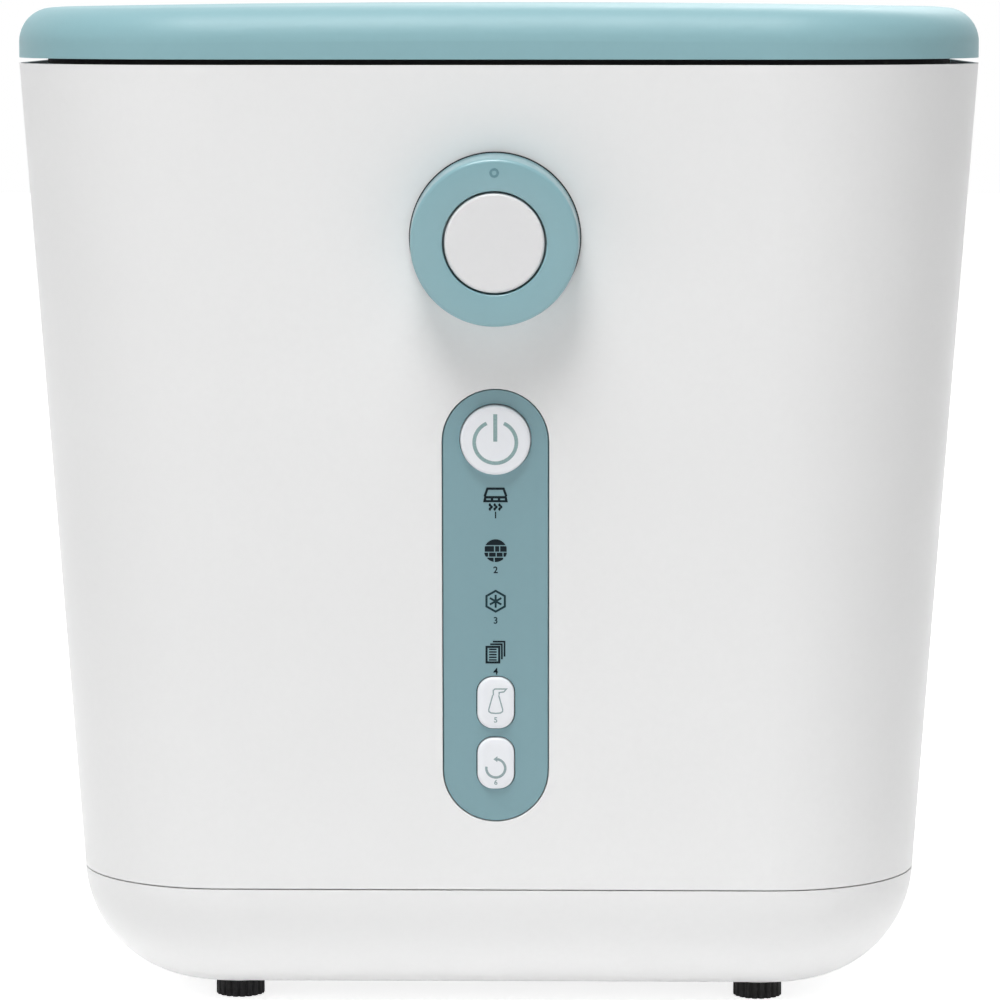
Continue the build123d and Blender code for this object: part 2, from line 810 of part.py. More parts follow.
with BuildPart() as gear_plate_upper:
    with BuildSketch(Plane.XY.offset(upper_plate_z)):
        with Locations(*corners):
            Circle(post_r + 3.0)
        with Locations((idler_x, bucket_y)):
            Circle(fine_module * fine_teeth / 2 + 5.0)
        make_hull()
        with Locations((0, bucket_y)):
            Circle(bearing_r, mode=Mode.SUBTRACT)
            with PolarLocations(37.0, 6, start_angle=30.0):
                Circle(9.0, mode=Mode.SUBTRACT)
        with Locations((idler_x, bucket_y)):
            Circle(axle_r, mode=Mode.SUBTRACT)
    extrude(amount=plate_t)

gear_plate_upper.part.label = "gear_plate_upper"
export_step(gear_plate_upper.part, "parts/gear_plate_upper.step")

with BuildPart() as plate_spacers:
    with Locations(*[(x, y, lower_plate_z + plate_t) for x, y in corners]):
        Cylinder(post_r - 1.0, plate_space, align=STANDING)

plate_spacers.part.label = "plate_spacers"
export_step(plate_spacers.part, "parts/plate_spacers.step")

with BuildPart() as cup_standoffs:
    with BuildSketch(Plane.XY.offset(upper_plate_z + plate_t)):
        with Locations((0, bucket_y)):
            with PolarLocations(standoff_ring, 4, start_angle=45.0, rotate=False):
                RegularPolygon(post_r - 1.0, 6)
    extrude(amount=cup_floor_z - upper_plate_z - plate_t)

cup_standoffs.part.label = "cup_standoffs"
export_step(cup_standoffs.part, "parts/cup_standoffs.step")

with BuildPart() as shaft_bearings:
    for z in (lower_plate_z - 1.0, upper_plate_z - 1.0):
        with BuildSketch(Plane.XY.offset(z)):
            with Locations((0, bucket_y)):
                Circle(bearing_r - 0.02)
                Circle(shaft_r + run, mode=Mode.SUBTRACT)
        extrude(amount=plate_t + 2.0)

shaft_bearings.part.label = "shaft_bearings"
export_step(shaft_bearings.part, "parts/shaft_bearings.step")

with BuildPart() as gear_motor:
    with Locations((idler_x, motor_y, lower_plate_z - motor_h)):
        Cylinder(motor_r, motor_h, align=STANDING)
    fillet(edges().filter_by(GeomType.CIRCLE).sort_by(Axis.Z)[0], 2.5)
    with Locations((idler_x, motor_y, lower_plate_z - motor_h - 2.5)):
        Cylinder(2.0 * motor_shaft_r, 2.5, align=STANDING)
    with BuildSketch(Plane.XY.offset(lower_plate_z)):
        with Locations((idler_x, motor_y)):
            Circle(motor_shaft_r + run)
    extrude(amount=-12.0, mode=Mode.SUBTRACT)
    # the two terminals
    for side in (-1, 1):
        with Locations((idler_x + side * 12.0, motor_y, lower_plate_z - motor_h + 1.0)):
            Box(4.0, 0.8, 4.0, align=(Align.CENTER, Align.CENTER, Align.MAX))

gear_motor.part.label = "gear_motor"
export_step(gear_motor.part, "parts/gear_motor.step")

with BuildPart() as motor_pinion:
    with BuildSketch(Plane(origin=(idler_x, motor_y, layer_1_z))):
        with BuildLine():
            Polyline(*gear_points(fine_module, pinion_teeth, 90.0), close=True)
        make_face()
    extrude(amount=gear_t)
    with Locations((idler_x, motor_y, lower_plate_z - 10.0)):
        Cylinder(motor_shaft_r, 2.0 * plate_t + gear_t + 10.0, align=STANDING)

motor_pinion.part.label = "motor_pinion"
export_step(motor_pinion.part, "parts/motor_pinion.step")

with BuildPart() as idler_gear:
    with BuildSketch(Plane(origin=(idler_x, bucket_y, layer_1_z))):
        with BuildLine():
            turn = 90.0 + 180.0 / fine_teeth
            Polyline(*gear_points(fine_module, fine_teeth, turn), close=True)
        make_face()
        with PolarLocations(fine_module * fine_teeth * 0.31, 6):
            Circle(4.2, mode=Mode.SUBTRACT)
    extrude(amount=gear_t)
    with BuildSketch(Plane(origin=(idler_x, bucket_y, layer_1_z + gear_t))):
        with BuildLine():
            Polyline(*gear_points(coarse_module, pinion_teeth, 0.0), close=True)
        make_face()
    extrude(amount=layer_2 - layer_1)
    with BuildSketch(Plane(origin=(idler_x, bucket_y, lower_plate_z + plate_t + 0.3))):
        Circle(axle_r + 3.0)
    extrude(amount=layer_1)
    with Locations((idler_x, bucket_y, lower_plate_z)):
        Cylinder(axle_r + run, plate_space, align=STANDING, mode=Mode.SUBTRACT)

idler_gear.part.label = "idler_gear"
export_step(idler_gear.part, "parts/idler_gear.step")

with BuildPart() as idler_axle:
    with Locations((idler_x, bucket_y, lower_plate_z)):
        Cylinder(axle_r, plate_space + 2 * plate_t, align=STANDING)

idler_axle.part.label = "idler_axle"
export_step(idler_axle.part, "parts/idler_axle.step")

with BuildPart() as output_gear:
    with BuildSketch(Plane(origin=(0, bucket_y, layer_2_z))):
        with BuildLine():
            turn = 180.0 + 180.0 / coarse_teeth
            Polyline(*gear_points(coarse_module, coarse_teeth, turn), close=True)
        make_face()
        with PolarLocations(coarse_module * coarse_teeth * 0.3, 6):
            Circle(8.0, mode=Mode.SUBTRACT)
    extrude(amount=gear_t)
    with Locations((0, bucket_y, layer_2_z - 2.0)):
        Cylinder(2 * shaft_r, gear_t + 4.0, align=STANDING)
        Cylinder(shaft_r + 0.02, gear_t + 4.0, align=STANDING, mode=Mode.SUBTRACT)

output_gear.part.label = "output_gear"
export_step(output_gear.part, "parts/output_gear.step")

with BuildPart() as drive_shaft:
    with Locations((0, bucket_y, lower_plate_z - 4.0)):
        Cylinder(shaft_r, dog_z - lower_plate_z, align=STANDING)
    with Locations((0, bucket_y, dog_z - 4.0)):
        Cylinder(shaft_r + 4.0, tongue_h + 4.0, align=STANDING)
    chamfer(edges().filter_by(GeomType.CIRCLE).sort_by(Axis.Z)[-1], 1.0)
    with Locations((0, bucket_y, dog_z)):
        Box(4 * shaft_r, tongue_t + 0.6, tongue_h, align=STANDING, mode=Mode.SUBTRACT)

drive_shaft.part.label = "drive_shaft"
export_step(drive_shaft.part, "parts/drive_shaft.step")

# ------------------------------------------------------------------ knob and latch
bush_flange_t = 1.2
with BuildPart() as knob_bush:
    with BuildSketch(front(knob_z, wall)):
        Circle(bush_r)
    extrude(amount=wall + knob_gap * 0.5)
    with BuildSketch(front(knob_z, wall)):
        Circle(bush_r + 3.0)
    extrude(amount=-bush_flange_t)
    with BuildSketch(front(knob_z)):
        Circle(shaft_r + run)
    extrude(amount=2 * wall, both=True, mode=Mode.SUBTRACT)

knob_bush.part.label = "knob_bush"
export_step(knob_bush.part, "parts/knob_bush.step")

with BuildPart() as knob_ring:
    well = knob_h - cap_t
    with BuildSketch(front_section(knob_z)):
        with BuildLine():
            FilletPolyline(
                (shaft_r + 0.02, knob_gap),
                (shaft_r + 4.0, knob_gap),
                (shaft_r + 4.0, well - wall),
                (knob_r - 4.0, well - wall),
                (knob_r - 4.0, knob_gap),
                (knob_r + 0.5, knob_gap),
                (knob_r, knob_h),
                (cap_r + cap_gap, knob_h),
                (cap_r + cap_gap, well),
                (shaft_r + 0.02, well),
                close=True,
                radius=(0, 0, 0, 0, 0, 0.8, knob_round, 0.8, 0, 0),
            )
        make_face()
    revolve(axis=Axis(front(knob_z).origin, front(knob_z).z_dir))
    # index dimple at the top of the face
    with BuildSketch(front(knob_z, -knob_h)):
        with Locations((0, (knob_r + cap_r) / 2 + 1.0)):
            Circle(1.4)
    extrude(amount=-0.4, mode=Mode.SUBTRACT)

knob_ring.part.label = "knob_ring"
export_step(knob_ring.part, "parts/knob_ring.step")

with BuildPart() as knob_cap:
    with BuildSketch(front(knob_z, cap_t - knob_h)):
        Circle(cap_r)
    extrude(amount=cap_t)
    fillet(faces().sort_by(Axis.Y)[0].edges(), 1.0)

knob_cap.part.label = "knob_cap"
export_step(knob_cap.part, "parts/knob_cap.step")

rack_depth = wall + bush_flange_t + 1.3
with BuildPart() as knob_shaft:
    with BuildSketch(front(knob_z, cap_t - knob_h)):
        Circle(shaft_r)
    extrude(amount=-(well + rack_depth - 0.2))
    with BuildSketch(front(knob_z, rack_depth - 0.2)):
        Circle(shaft_r - 1.0)
    extrude(amount=-(rack_t + 4.0))
    with BuildSketch(front(knob_z, rack_depth)):
        with BuildLine():
            Polyline(*gear_points(rack_module, rack_teeth, 90.0), close=True)
        make_face()
    extrude(amount=-rack_t)

knob_shaft.part.label = "knob_shaft"
export_step(knob_shaft.part, "parts/knob_shaft.step")

with BuildPart() as knob_clip:
    with BuildSketch(front(knob_z, rack_depth + rack_t + 0.6)):
        Circle(shaft_r + 2.0)
        Circle(shaft_r - 1.0 + 0.02, mode=Mode.SUBTRACT)
        with Locations((0, -shaft_r)):
            Rectangle(3.0, 6.0, mode=Mode.SUBTRACT)
    extrude(amount=-1.2)

knob_clip.part.label = "knob_clip"
export_step(knob_clip.part, "parts/knob_clip.step")

pitch_r = rack_module * rack_teeth / 2
rack_pitch = pi * rack_module
bar_low = pitch_r + dedendum * rack_module
with BuildPart() as latch_slider:
    with BuildSketch(front(knob_z, rack_depth)):
        with Locations((rack_from, bar_low)):
            Rectangle(rack_to - rack_from, rack_h, align=(Align.MIN, Align.MIN))
        with Locations((arm_x, bar_low)):
            Rectangle(arm_w, arm_up - bar_low, align=(Align.MIN, Align.MIN))
        slope = tan(radians(pressure_angle))
        tip_v = pitch_r - addendum * rack_module
        root_v = bar_low + 0.1
        tip_x = (rack_pitch - backlash) / 4 + (tip_v - pitch_r) * slope
        root_x = (rack_pitch - backlash) / 4 + (root_v - pitch_r) * slope
        for tooth in range(-5, 2):
            mid = (tooth + 0.5) * rack_pitch
            with BuildLine():
                Polyline(
                    (mid - tip_x, tip_v),
                    (mid + tip_x, tip_v),
                    (mid + root_x, root_v),
                    (mid - root_x, root_v),
                    close=True,
                )
            make_face()
    extrude(amount=-rack_t)
    # bolt that slides into the striker's notch
    with BuildSketch(front(knob_z, rack_depth)):
        with Locations((bolt_x, arm_up)):
            Rectangle(bolt_w, bolt_h, align=(Align.MIN, Align.MAX))
    extrude(amount=-bolt_reach)

latch_slider.part.label = "latch_slider"
export_step(latch_slider.part, "parts/latch_slider.step")

with BuildPart() as latch_guide:
    guide_depth = rack_depth + rack_t + 0.4
    top_v = bar_low + rack_h
    with BuildSketch(front(knob_z, guide_depth)):
        with Locations((0, pitch_r - 1.0)):
            Rectangle(2 * guide_x + 8.0, top_v - pitch_r + 4.0, align=(Align.CENTER, Align.MIN))
        Circle(shaft_r + 4.5, mode=Mode.SUBTRACT)
    extrude(amount=-2.0)
    rails = (
        (4.0, top_v + fit, guide_x - 8.0, 2.0),
        (rack_to - 5.5, bar_low - fit - 1.8, guide_x - rack_to - 2.5, 1.8),
        (-guide_x + 4.0, bar_low - fit - 1.8, guide_x - 20.5, 1.8),
    )
    with BuildSketch(front(knob_z, rack_depth)):
        for x, v, length, height in rails:
            with Locations((x, v)):
                Rectangle(length, height, align=(Align.MIN, Align.MIN))
    extrude(amount=-(guide_depth - rack_depth))
    with BuildSketch(front(knob_z, wall)):
        with Locations((-guide_x, top_v - 2.0), (guide_x, top_v - 2.0)):
            Circle(3.5)
    extrude(amount=-(guide_depth - wall))

latch_guide.part.label = "latch_guide"
export_step(latch_guide.part, "parts/latch_guide.step")

# ------------------------------------------------------------------ control panel
with BuildPart() as front_panel:
    with BuildSketch(front(panel_z, panel_sink)):
        SlotOverall(panel_h, panel_w, rotation=90)
    extrude(amount=panel_sink - wall)
    with BuildSketch(front(panel_z, wall)):
        SlotOverall(panel_h + 2 * panel_lip, panel_w + 2 * panel_lip, rotation=90)
        SlotOverall(
            panel_h - 2 * panel_lip,
            panel_w - 2 * panel_lip,
            rotation=90,
            mode=Mode.SUBTRACT,
        )
    extrude(amount=-panel_lip_t)
    with BuildSketch(front(panel_z, wall)):
        with GridLocations(panel_w, panel_post_pitch, 2, 2):
            Circle(2.4)
    extrude(amount=wall - board_depth)
    with BuildSketch(front(panel_z, panel_sink)):
        with Locations((0, power_up)):
            Circle(power_r + key_gap)
        with Locations((0, -clean_down), (0, -reset_down)):
            RectangleRounded(key_w + 2 * key_gap, key_h + 2 * key_gap, key_r + key_gap)
    extrude(amount=-wall, mode=Mode.SUBTRACT)

front_panel.part.label = "front_panel"
export_step(front_panel.part, "parts/front_panel.step")

with BuildPart() as display_board:
    with BuildSketch(front(panel_z, board_depth)):
        RectangleRounded(panel_w + 5.0, panel_h - 3.0, 3.0)
    extrude(amount=-board_t)

display_board.part.label = "display_board"
export_step(display_board.part, "parts/display_board.step")

button_spots = [(0, power_up), (0, -clean_down), (0, -reset_down)]
with BuildPart() as tact_switches:
    with BuildSketch(front(panel_z, board_depth)):
        with Locations(*button_spots):
            RectangleRounded(6.0, 6.0, 0.6)
    extrude(amount=switch_h - 0.8)
    with BuildSketch(front(panel_z, board_depth)):
        with Locations(*button_spots):
            Circle(1.7)
    extrude(amount=switch_h)

tact_switches.part.label = "tact_switches"
export_step(tact_switches.part, "parts/tact_switches.step")

with BuildPart() as indicator_leds:
    with BuildSketch(front(panel_z, board_depth)):
        with Locations(*[(0, up) for up in icon_ups]):
            RectangleRounded(5.0, 3.5, 0.5)
    extrude(amount=1.6)

indicator_leds.part.label = "indicator_leds"
export_step(indicator_leds.part, "parts/indicator_leds.step")

back_depth = wall + 0.1  # behind the panel's plate
stem_depth = board_depth - switch_h - press - 0.1
with BuildPart() as power_button:
    with BuildSketch(front(panel_z, back_depth)):
        with Locations((0, power_up)):
            Circle(power_r)
    extrude(amount=back_depth + power_proud)
    fillet(edges().filter_by(GeomType.CIRCLE).sort_by(Axis.Y)[0], 1.0)
    with BuildSketch(front(panel_z, back_depth)):
        with Locations((0, power_up)):
            Circle(power_r + 1.6)
    extrude(amount=-1.4)
    with BuildSketch(front(panel_z, back_depth)):
        with Locations((0, power_up)):
            Circle(2.5)
    extrude(amount=back_depth - stem_depth)

power_button.part.label = "power_button"
export_step(power_button.part, "parts/power_button.step")


def key_button(up):
    """A rounded key with its flange and stem, up from the panel's middle."""
    with BuildPart() as key:
        with BuildSketch(front(panel_z, back_depth)):
            with Locations((0, up)):
                RectangleRounded(key_w, key_h, key_r)
        extrude(amount=back_depth + key_proud)
        fillet(faces().sort_by(Axis.Y)[0].edges(), 0.7)
        with BuildSketch(front(panel_z, back_depth)):
            with Locations((0, up)):
                RectangleRounded(key_w + 2.4, key_h + 2.4, key_r + 1.2)
        extrude(amount=-1.4)
        with BuildSketch(front(panel_z, back_depth)):
            with Locations((0, up)):
                Circle(2.5)
        extrude(amount=back_depth - stem_depth)
    return key.part


with BuildPart() as clean_button:
    add(key_button(-clean_down))

clean_button.part.label = "clean_button"
export_step(clean_button.part, "parts/clean_button.step")

with BuildPart() as reset_button:
    add(key_button(-reset_down))

reset_button.part.label = "reset_button"
export_step(reset_button.part, "parts/reset_button.step")

# ------------------------------------------------------------------ boards and switch
with BuildPart() as power_circuit:
    with Locations((*power_board_at, board_z)):
        Box(*power_board, board_t, align=STANDING)
    with Locations((*power_board_at, board_z + board_t)):
        with Locations((-8.0, 20.0, 0)):
            Box(*transformer, align=STANDING)
        with Locations((14.0, -12.0, 0)):
            Box(*relay, align=STANDING)
        with Locations((-14.0, -16.0, 0), (-1.0, -22.0, 0)):
            Cylinder(capacitor_r, capacitor_h, align=STANDING)

power_circuit.part.label = "power_board"
export_step(power_circuit.part, "parts/power_board.step")

with BuildPart() as control_circuit:
    with Locations((*control_board_at, board_z)):
        Box(*control_board, board_t, align=STANDING)
    with Locations((*control_board_at, board_z + board_t)):
        Box(*processor, align=STANDING)
        with Locations((-20.0, 10.0, 0), (18.0, -12.0, 0)):
            Box(*connector, align=STANDING)
        with Locations((20.0, 12.0, 0)):
            Cylinder(3.5, 9.0, align=STANDING)

control_circuit.part.label = "control_board"
export_step(control_circuit.part, "parts/control_board.step")

with BuildPart() as lid_switch:
    with Locations((striker_w / 2 + 10.0, striker_y, deck_z)):
        Box(12.0, 6.0, 13.0, align=(Align.CENTER, Align.CENTER, Align.MAX))
    with Locations((striker_w / 2 + 2.2, striker_y, deck_z - 6.0)):
        Box(3.6, 3.5, 2.0, align=(Align.CENTER, Align.CENTER, Align.MAX))

lid_switch.part.label = "lid_switch"
export_step(lid_switch.part, "parts/lid_switch.step")

# ------------------------------------------------------------------ filter bay, duct and cassette
bay_w = door_w - 2 * door_lap
bay_h = door_h - 2 * door_lap
tray_w = bay_w - 2 * bay_wall - 2 * slip
tray_h = bay_h - 2 * bay_wall - 2 * slip
bay_depth = wall + tray_depth + slip + bay_wall
with BuildPart() as filter_bay:
    with BuildSketch(rear(bay_z, wall)):
        Rectangle(bay_w, bay_h)
    extrude(amount=wall - bay_depth)
    with BuildSketch(rear(bay_z, wall)):
        Rectangle(bay_w + 12.0, bay_h + 12.0)
    extrude(amount=-bay_wall)
    with BuildSketch(rear(bay_z, wall)):
        Rectangle(bay_w - 2 * bay_wall, bay_h - 2 * bay_wall)
    extrude(amount=wall - bay_depth + bay_wall, mode=Mode.SUBTRACT)
    with BuildSketch(Plane.XY.offset(bay_z + bay_h / 2 - 8.0)):
        with Locations((0, port_y)):
            SlotOverall(port_w, port_d)
    extrude(amount=16.0, mode=Mode.SUBTRACT)
    with BuildSketch(rear(bay_z, vent_depth)):
        with Locations((0, -bay_h / 2)):
            Rectangle(vent_w, 4 * bay_wall)
    extrude(amount=-10.0, mode=Mode.SUBTRACT)

filter_bay.part.label = "filter_bay"
export_step(filter_bay.part, "parts/filter_bay.step")

with BuildPart() as exhaust_duct:
    with BuildSketch(Plane.XY.offset(deck_z)):
        with Locations((0, port_y)):
            SlotOverall(port_w + 2 * duct_wall, port_d + 2 * duct_wall)
            SlotOverall(port_w, port_d, mode=Mode.SUBTRACT)
    extrude(amount=-60.0)
    # the duct stands on the leaning top of the filter bay
    bay_top = Plane(
        origin=rear(bay_z).origin + rear(bay_z).y_dir * (bay_h / 2),
        x_dir=(1, 0, 0),
        z_dir=rear(bay_z).y_dir,
    )
    with BuildSketch(bay_top):
        Rectangle(2 * port_w, 4 * port_w)
    extrude(amount=-60.0, mode=Mode.SUBTRACT)

exhaust_duct.part.label = "exhaust_duct"
export_step(exhaust_duct.part, "parts/exhaust_duct.step")

with BuildPart() as filter_cassette:
    with BuildSketch(rear(bay_z)):
        RectangleRounded(door_w, door_h, 5.5)
    extrude(amount=-(door_t - 0.2))
    with BuildSketch(rear(bay_z, door_t - 0.2)):
        Rectangle(tray_w, tray_h)
    extrude(amount=-(tray_depth + 0.2))
    with BuildSketch(rear(bay_z, door_t + tray_back)):
        Rectangle(tray_w - 2 * tray_wall, tray_h - 2 * tray_wall)
    extrude(amount=-tray_depth, mode=Mode.SUBTRACT)
    # air slots in the tray's upper and lower walls
    with BuildSketch(rear(bay_z, door_t + tray_back + 2.0)):
        with GridLocations(tray_w / (tray_slots + 2), 0, tray_slots, 1):
            Rectangle(6.0, 2 * tray_h)
    extrude(amount=-11.0, mode=Mode.SUBTRACT)
    # finger grip moulded into the door
    with BuildSketch(rear(bay_z)):
        with Locations((0, door_h / 2 - grip_down)):
            SlotOverall(grip_w, grip_h)
    extrude(amount=-grip_depth, mode=Mode.SUBTRACT)

filter_cassette.part.label = "filter_cassette"
export_step(filter_cassette.part, "parts/filter_cassette.step")

with BuildPart() as carbon_block:
    with BuildSketch(rear(bay_z, door_t + tray_back + 0.3)):
        RectangleRounded(tray_w - 2 * tray_wall - 0.6, tray_h - 2 * tray_wall - 0.6, 2.0)
    extrude(amount=-(tray_depth - tray_back - 1.0))

carbon_block.part.label = "carbon_block"
export_step(carbon_block.part, "parts/carbon_block.step")

# ------------------------------------------------------------------ fan, grille and inlet
duct_depth = wall + 0.2 + fan_t
bay_foot = (bay_z - fan_z) / cos(lean) - bay_h / 2  # bay's underside above the fan's middle
with BuildPart() as fan_duct:
    duct_h = bay_foot + fan_size / 2
    with BuildSketch(rear(fan_z, duct_depth)):
        with Locations((0, bay_foot)):
            Rectangle(fan_size, duct_h, align=(Align.CENTER, Align.MAX))
    extrude(amount=duct_depth - vent_depth - 12.0)
    with BuildSketch(rear(fan_z, duct_depth + duct_wall)):
        with Locations((0, bay_foot)):
            Rectangle(fan_size - 2 * duct_wall, duct_h - duct_wall, align=(Align.CENTER, Align.MAX))
    extrude(amount=duct_depth - vent_depth - 12.0 + 2 * duct_wall, mode=Mode.SUBTRACT)
    with BuildSketch(rear(fan_z, duct_depth)):
        Circle(fan_r + 1.0)
    extrude(amount=-duct_wall, mode=Mode.SUBTRACT)

fan_duct.part.label = "fan_duct"
export_step(fan_duct.part, "parts/fan_duct.step")

with BuildPart() as fan_frame:
    with BuildSketch(rear(fan_z, wall + 0.2)):
        RectangleRounded(fan_size, fan_size, 4.0)
        Circle(fan_r + 1.2, mode=Mode.SUBTRACT)
        with GridLocations(fan_size - 10.0, fan_size - 10.0, 2, 2):
            Circle(2.2, mode=Mode.SUBTRACT)
    extrude(amount=-fan_t)
    with BuildSketch(rear(fan_z, duct_depth - 2.0)):
        Circle(10.0)
        with PolarLocations(0, 4, start_angle=45.0):
            Rectangle(fan_size / 2, 3.0, align=(Align.MIN, Align.CENTER))
    extrude(amount=-2.0)
    with BuildSketch(rear(fan_z, duct_depth - 2.0)):
        Circle(fan_pin_r)
    extrude(amount=fan_pin_l)

fan_frame.part.label = "fan_frame"
export_step(fan_frame.part, "parts/fan_frame.step")

with BuildPart() as fan_impeller:
    hub_depth = wall + 2.2
    with BuildSketch(rear(fan_z, hub_depth)):
        Circle(fan_hub_r)
    extrude(amount=hub_depth + 2.4 - duct_depth)
    fillet(edges().filter_by(GeomType.CIRCLE).sort_by(Axis.Y)[-1], 1.0)
    middle = rear(fan_z, (hub_depth + duct_depth - 2.4) / 2)
    for blade in range(fan_blades):
        turn = 2 * pi * blade / fan_blades
        out = middle.x_dir * cos(turn) + middle.y_dir * sin(turn)
        side = middle.y_dir * cos(turn) - middle.x_dir * sin(turn)
        ends = []
        for reach, chord, pitch in ((fan_hub_r - 1.5, 10.5, 48.0), (fan_r - 1.0, 15.0, 24.0)):
            with BuildSketch(Plane(origin=middle.origin + out * reach, x_dir=side, z_dir=out)) as end:
                Rectangle(chord, 1.4, rotation=pitch)
            ends.append(end.sketch)
        loft(ends, ruled=True)
    with BuildSketch(rear(fan_z, duct_depth)):
        Circle(fan_pin_r + run)
    extrude(amount=fan_pin_l + 2.5, mode=Mode.SUBTRACT)

fan_impeller.part.label = "fan_impeller"
export_step(fan_impeller.part, "parts/fan_impeller.step")

with BuildPart() as rear_grille:
    with BuildSketch(rear(fan_z)):
        RectangleRounded(grille_size, grille_size, 8.0)
    extrude(amount=-wall)
    with BuildSketch(rear(fan_z)):
        with GridLocations(0, grille_pitch, 1, grille_bars):
            SlotOverall(2 * fan_r - 2.0, grille_slot)
        Circle(fan_r, mode=Mode.INTERSECT)
    extrude(amount=-wall, mode=Mode.SUBTRACT)

rear_grille.part.label = "rear_grille"
export_step(rear_grille.part, "parts/rear_grille.step")

with BuildPart() as power_inlet:
    with BuildSketch(rear(inlet_z, x=inlet_x)):
        Rectangle(inlet_w, inlet_h)
    extrude(amount=-inlet_l)
    with BuildSketch(rear(inlet_z, x=inlet_x)):
        RectangleRounded(inlet_w + 2 * inlet_rim, inlet_h + 2 * inlet_rim, 2.5)
    extrude(amount=inlet_rim_t)
    mouth_x = inlet_w / 2 - inlet_wall
    mouth_y = inlet_h / 2 - inlet_wall
    with BuildSketch(rear(inlet_z, -inlet_rim_t, x=inlet_x)):
        with BuildLine():
            Polyline(
                (-mouth_x, -mouth_y),
                (mouth_x, -mouth_y),
                (mouth_x, mouth_y - inlet_cut),
                (mouth_x - inlet_cut, mouth_y),
                (inlet_cut - mouth_x, mouth_y),
                (-mouth_x, mouth_y - inlet_cut),
                close=True,
            )
        make_face()
    extrude(amount=-(inlet_l - inlet_rim_t), mode=Mode.SUBTRACT)
    with BuildSketch(rear(inlet_z, inlet_l - 3.5, x=inlet_x)):
        with Locations((-7.0, -2.0), (7.0, -2.0), (0, 2.0)):
            Rectangle(2.0, 4.0)
    extrude(amount=13.0)

power_inlet.part.label = "power_inlet"
export_step(power_inlet.part, "parts/power_inlet.step")

# ------------------------------------------------------------------ lid
lid_top = lid_z + lid_h
crown_r = (body_w / 2) ** 2 / (2 * lid_crown)
with BuildPart() as lid_cover:
    extrude(rim_outline(lid_z), amount=lid_h)
    with Locations((0, 0, lid_top - crown_r)):
        Sphere(crown_r, mode=Mode.INTERSECT)
    fillet(faces().sort_by(Axis.Z)[-1].edges(), lid_round)
    with BuildPart(mode=Mode.PRIVATE) as hollow:
        extrude(rim_outline(lid_z, lid_wall), amount=lid_h - lid_crown - lid_wall - 1.0)
        fillet(faces().sort_by(Axis.Z)[-1].edges(), lid_round - lid_wall)
        with Locations(*[(x, y, liner_z + liner_t) for x, y in lid_posts]):
            Cylinder(lid_post_r, lid_h, align=STANDING, mode=Mode.SUBTRACT)
    add(hollow.part, mode=Mode.SUBTRACT)
    with Locations(*[(x, y, liner_z) for x, y in lid_posts]):
        Cylinder(screw_r + 0.1, screw_l - 2.0, align=STANDING, mode=Mode.SUBTRACT)
    for side in (-1, 1):
        add(hinge_eye(side * hinge_x, hinge_eye_w, upper=True))
    with BuildSketch(Plane.YZ):
        with Locations((hinge_y, hinge_z)):
            Circle(hinge_pin_r + run)
    extrude(amount=body_w / 2, both=True, mode=Mode.SUBTRACT)

lid_cover.part.label = "lid_cover"
export_step(lid_cover.part, "parts/lid_cover.step")

with BuildPart() as lid_liner:
    extrude(rim_outline(liner_z, lid_wall + fit), amount=liner_t)
    with BuildSketch(Plane.XY.offset(liner_z)):
        with Locations((0, bucket_y)):
            with GridLocations(0, 9.0, 1, 9):
                SlotOverall(72.0, 3.5)
            Circle(40.0, mode=Mode.INTERSECT)
        with Locations((0, port_y)):
            with GridLocations(8.0, 0, 7, 1):
                SlotOverall(12.0, 3.5, rotation=90)
        with Locations(*lid_posts):
            Circle(screw_r + fit)
    extrude(amount=liner_t, mode=Mode.SUBTRACT)

lid_liner.part.label = "lid_liner"
export_step(lid_liner.part, "parts/lid_liner.step")

with BuildPart() as lid_gasket:
    with BuildSketch(upright()):
        with BuildLine():
            Polyline(
                (mouth_r - 2.5, liner_z),
                (mouth_r + 4.0, liner_z),
                (mouth_r + 4.0, liner_z - 2.0),
                (mouth_r + 1.6, liner_z - 2.0),
                (mouth_r + 1.0, bucket_top + seal_gap),
                (mouth_r - 1.0, bucket_top + seal_gap),
                (mouth_r - 1.0, liner_z - 2.0),
                (mouth_r - 2.5, liner_z - 2.0),
                close=True,
            )
        make_face()
    revolve(axis=axis_at())

lid_gasket.part.label = "lid_gasket"
export_step(lid_gasket.part, "parts/lid_gasket.step")

with BuildPart() as lid_striker:
    with BuildSketch(Plane.XZ.offset(striker_t / 2 - striker_y)):
        with Locations((0, liner_z)):
            Rectangle(striker_w, striker_l, align=(Align.CENTER, Align.MAX))
            with Locations((-striker_w / 2, notch_z - liner_z)):
                Rectangle(notch_w, notch_h, align=(Align.MIN, Align.MIN), mode=Mode.SUBTRACT)
    extrude(amount=-striker_t)
    with Locations((0, striker_y, liner_z)):
        Box(striker_w + 8.0, 8.0, 2.5, align=(Align.CENTER, Align.CENTER, Align.MAX))

lid_striker.part.label = "lid_striker"
export_step(lid_striker.part, "parts/lid_striker.step")

with BuildPart() as lid_screws:
    with Locations(*[(x, y, liner_z) for x, y in lid_posts]):
        Cylinder(2.0 * screw_r, screw_r, align=(Align.CENTER, Align.CENTER, Align.MAX))
        Cylinder(screw_r, screw_l - 3.0, align=STANDING)

lid_screws.part.label = "lid_screws"
export_step(lid_screws.part, "parts/lid_screws.step")

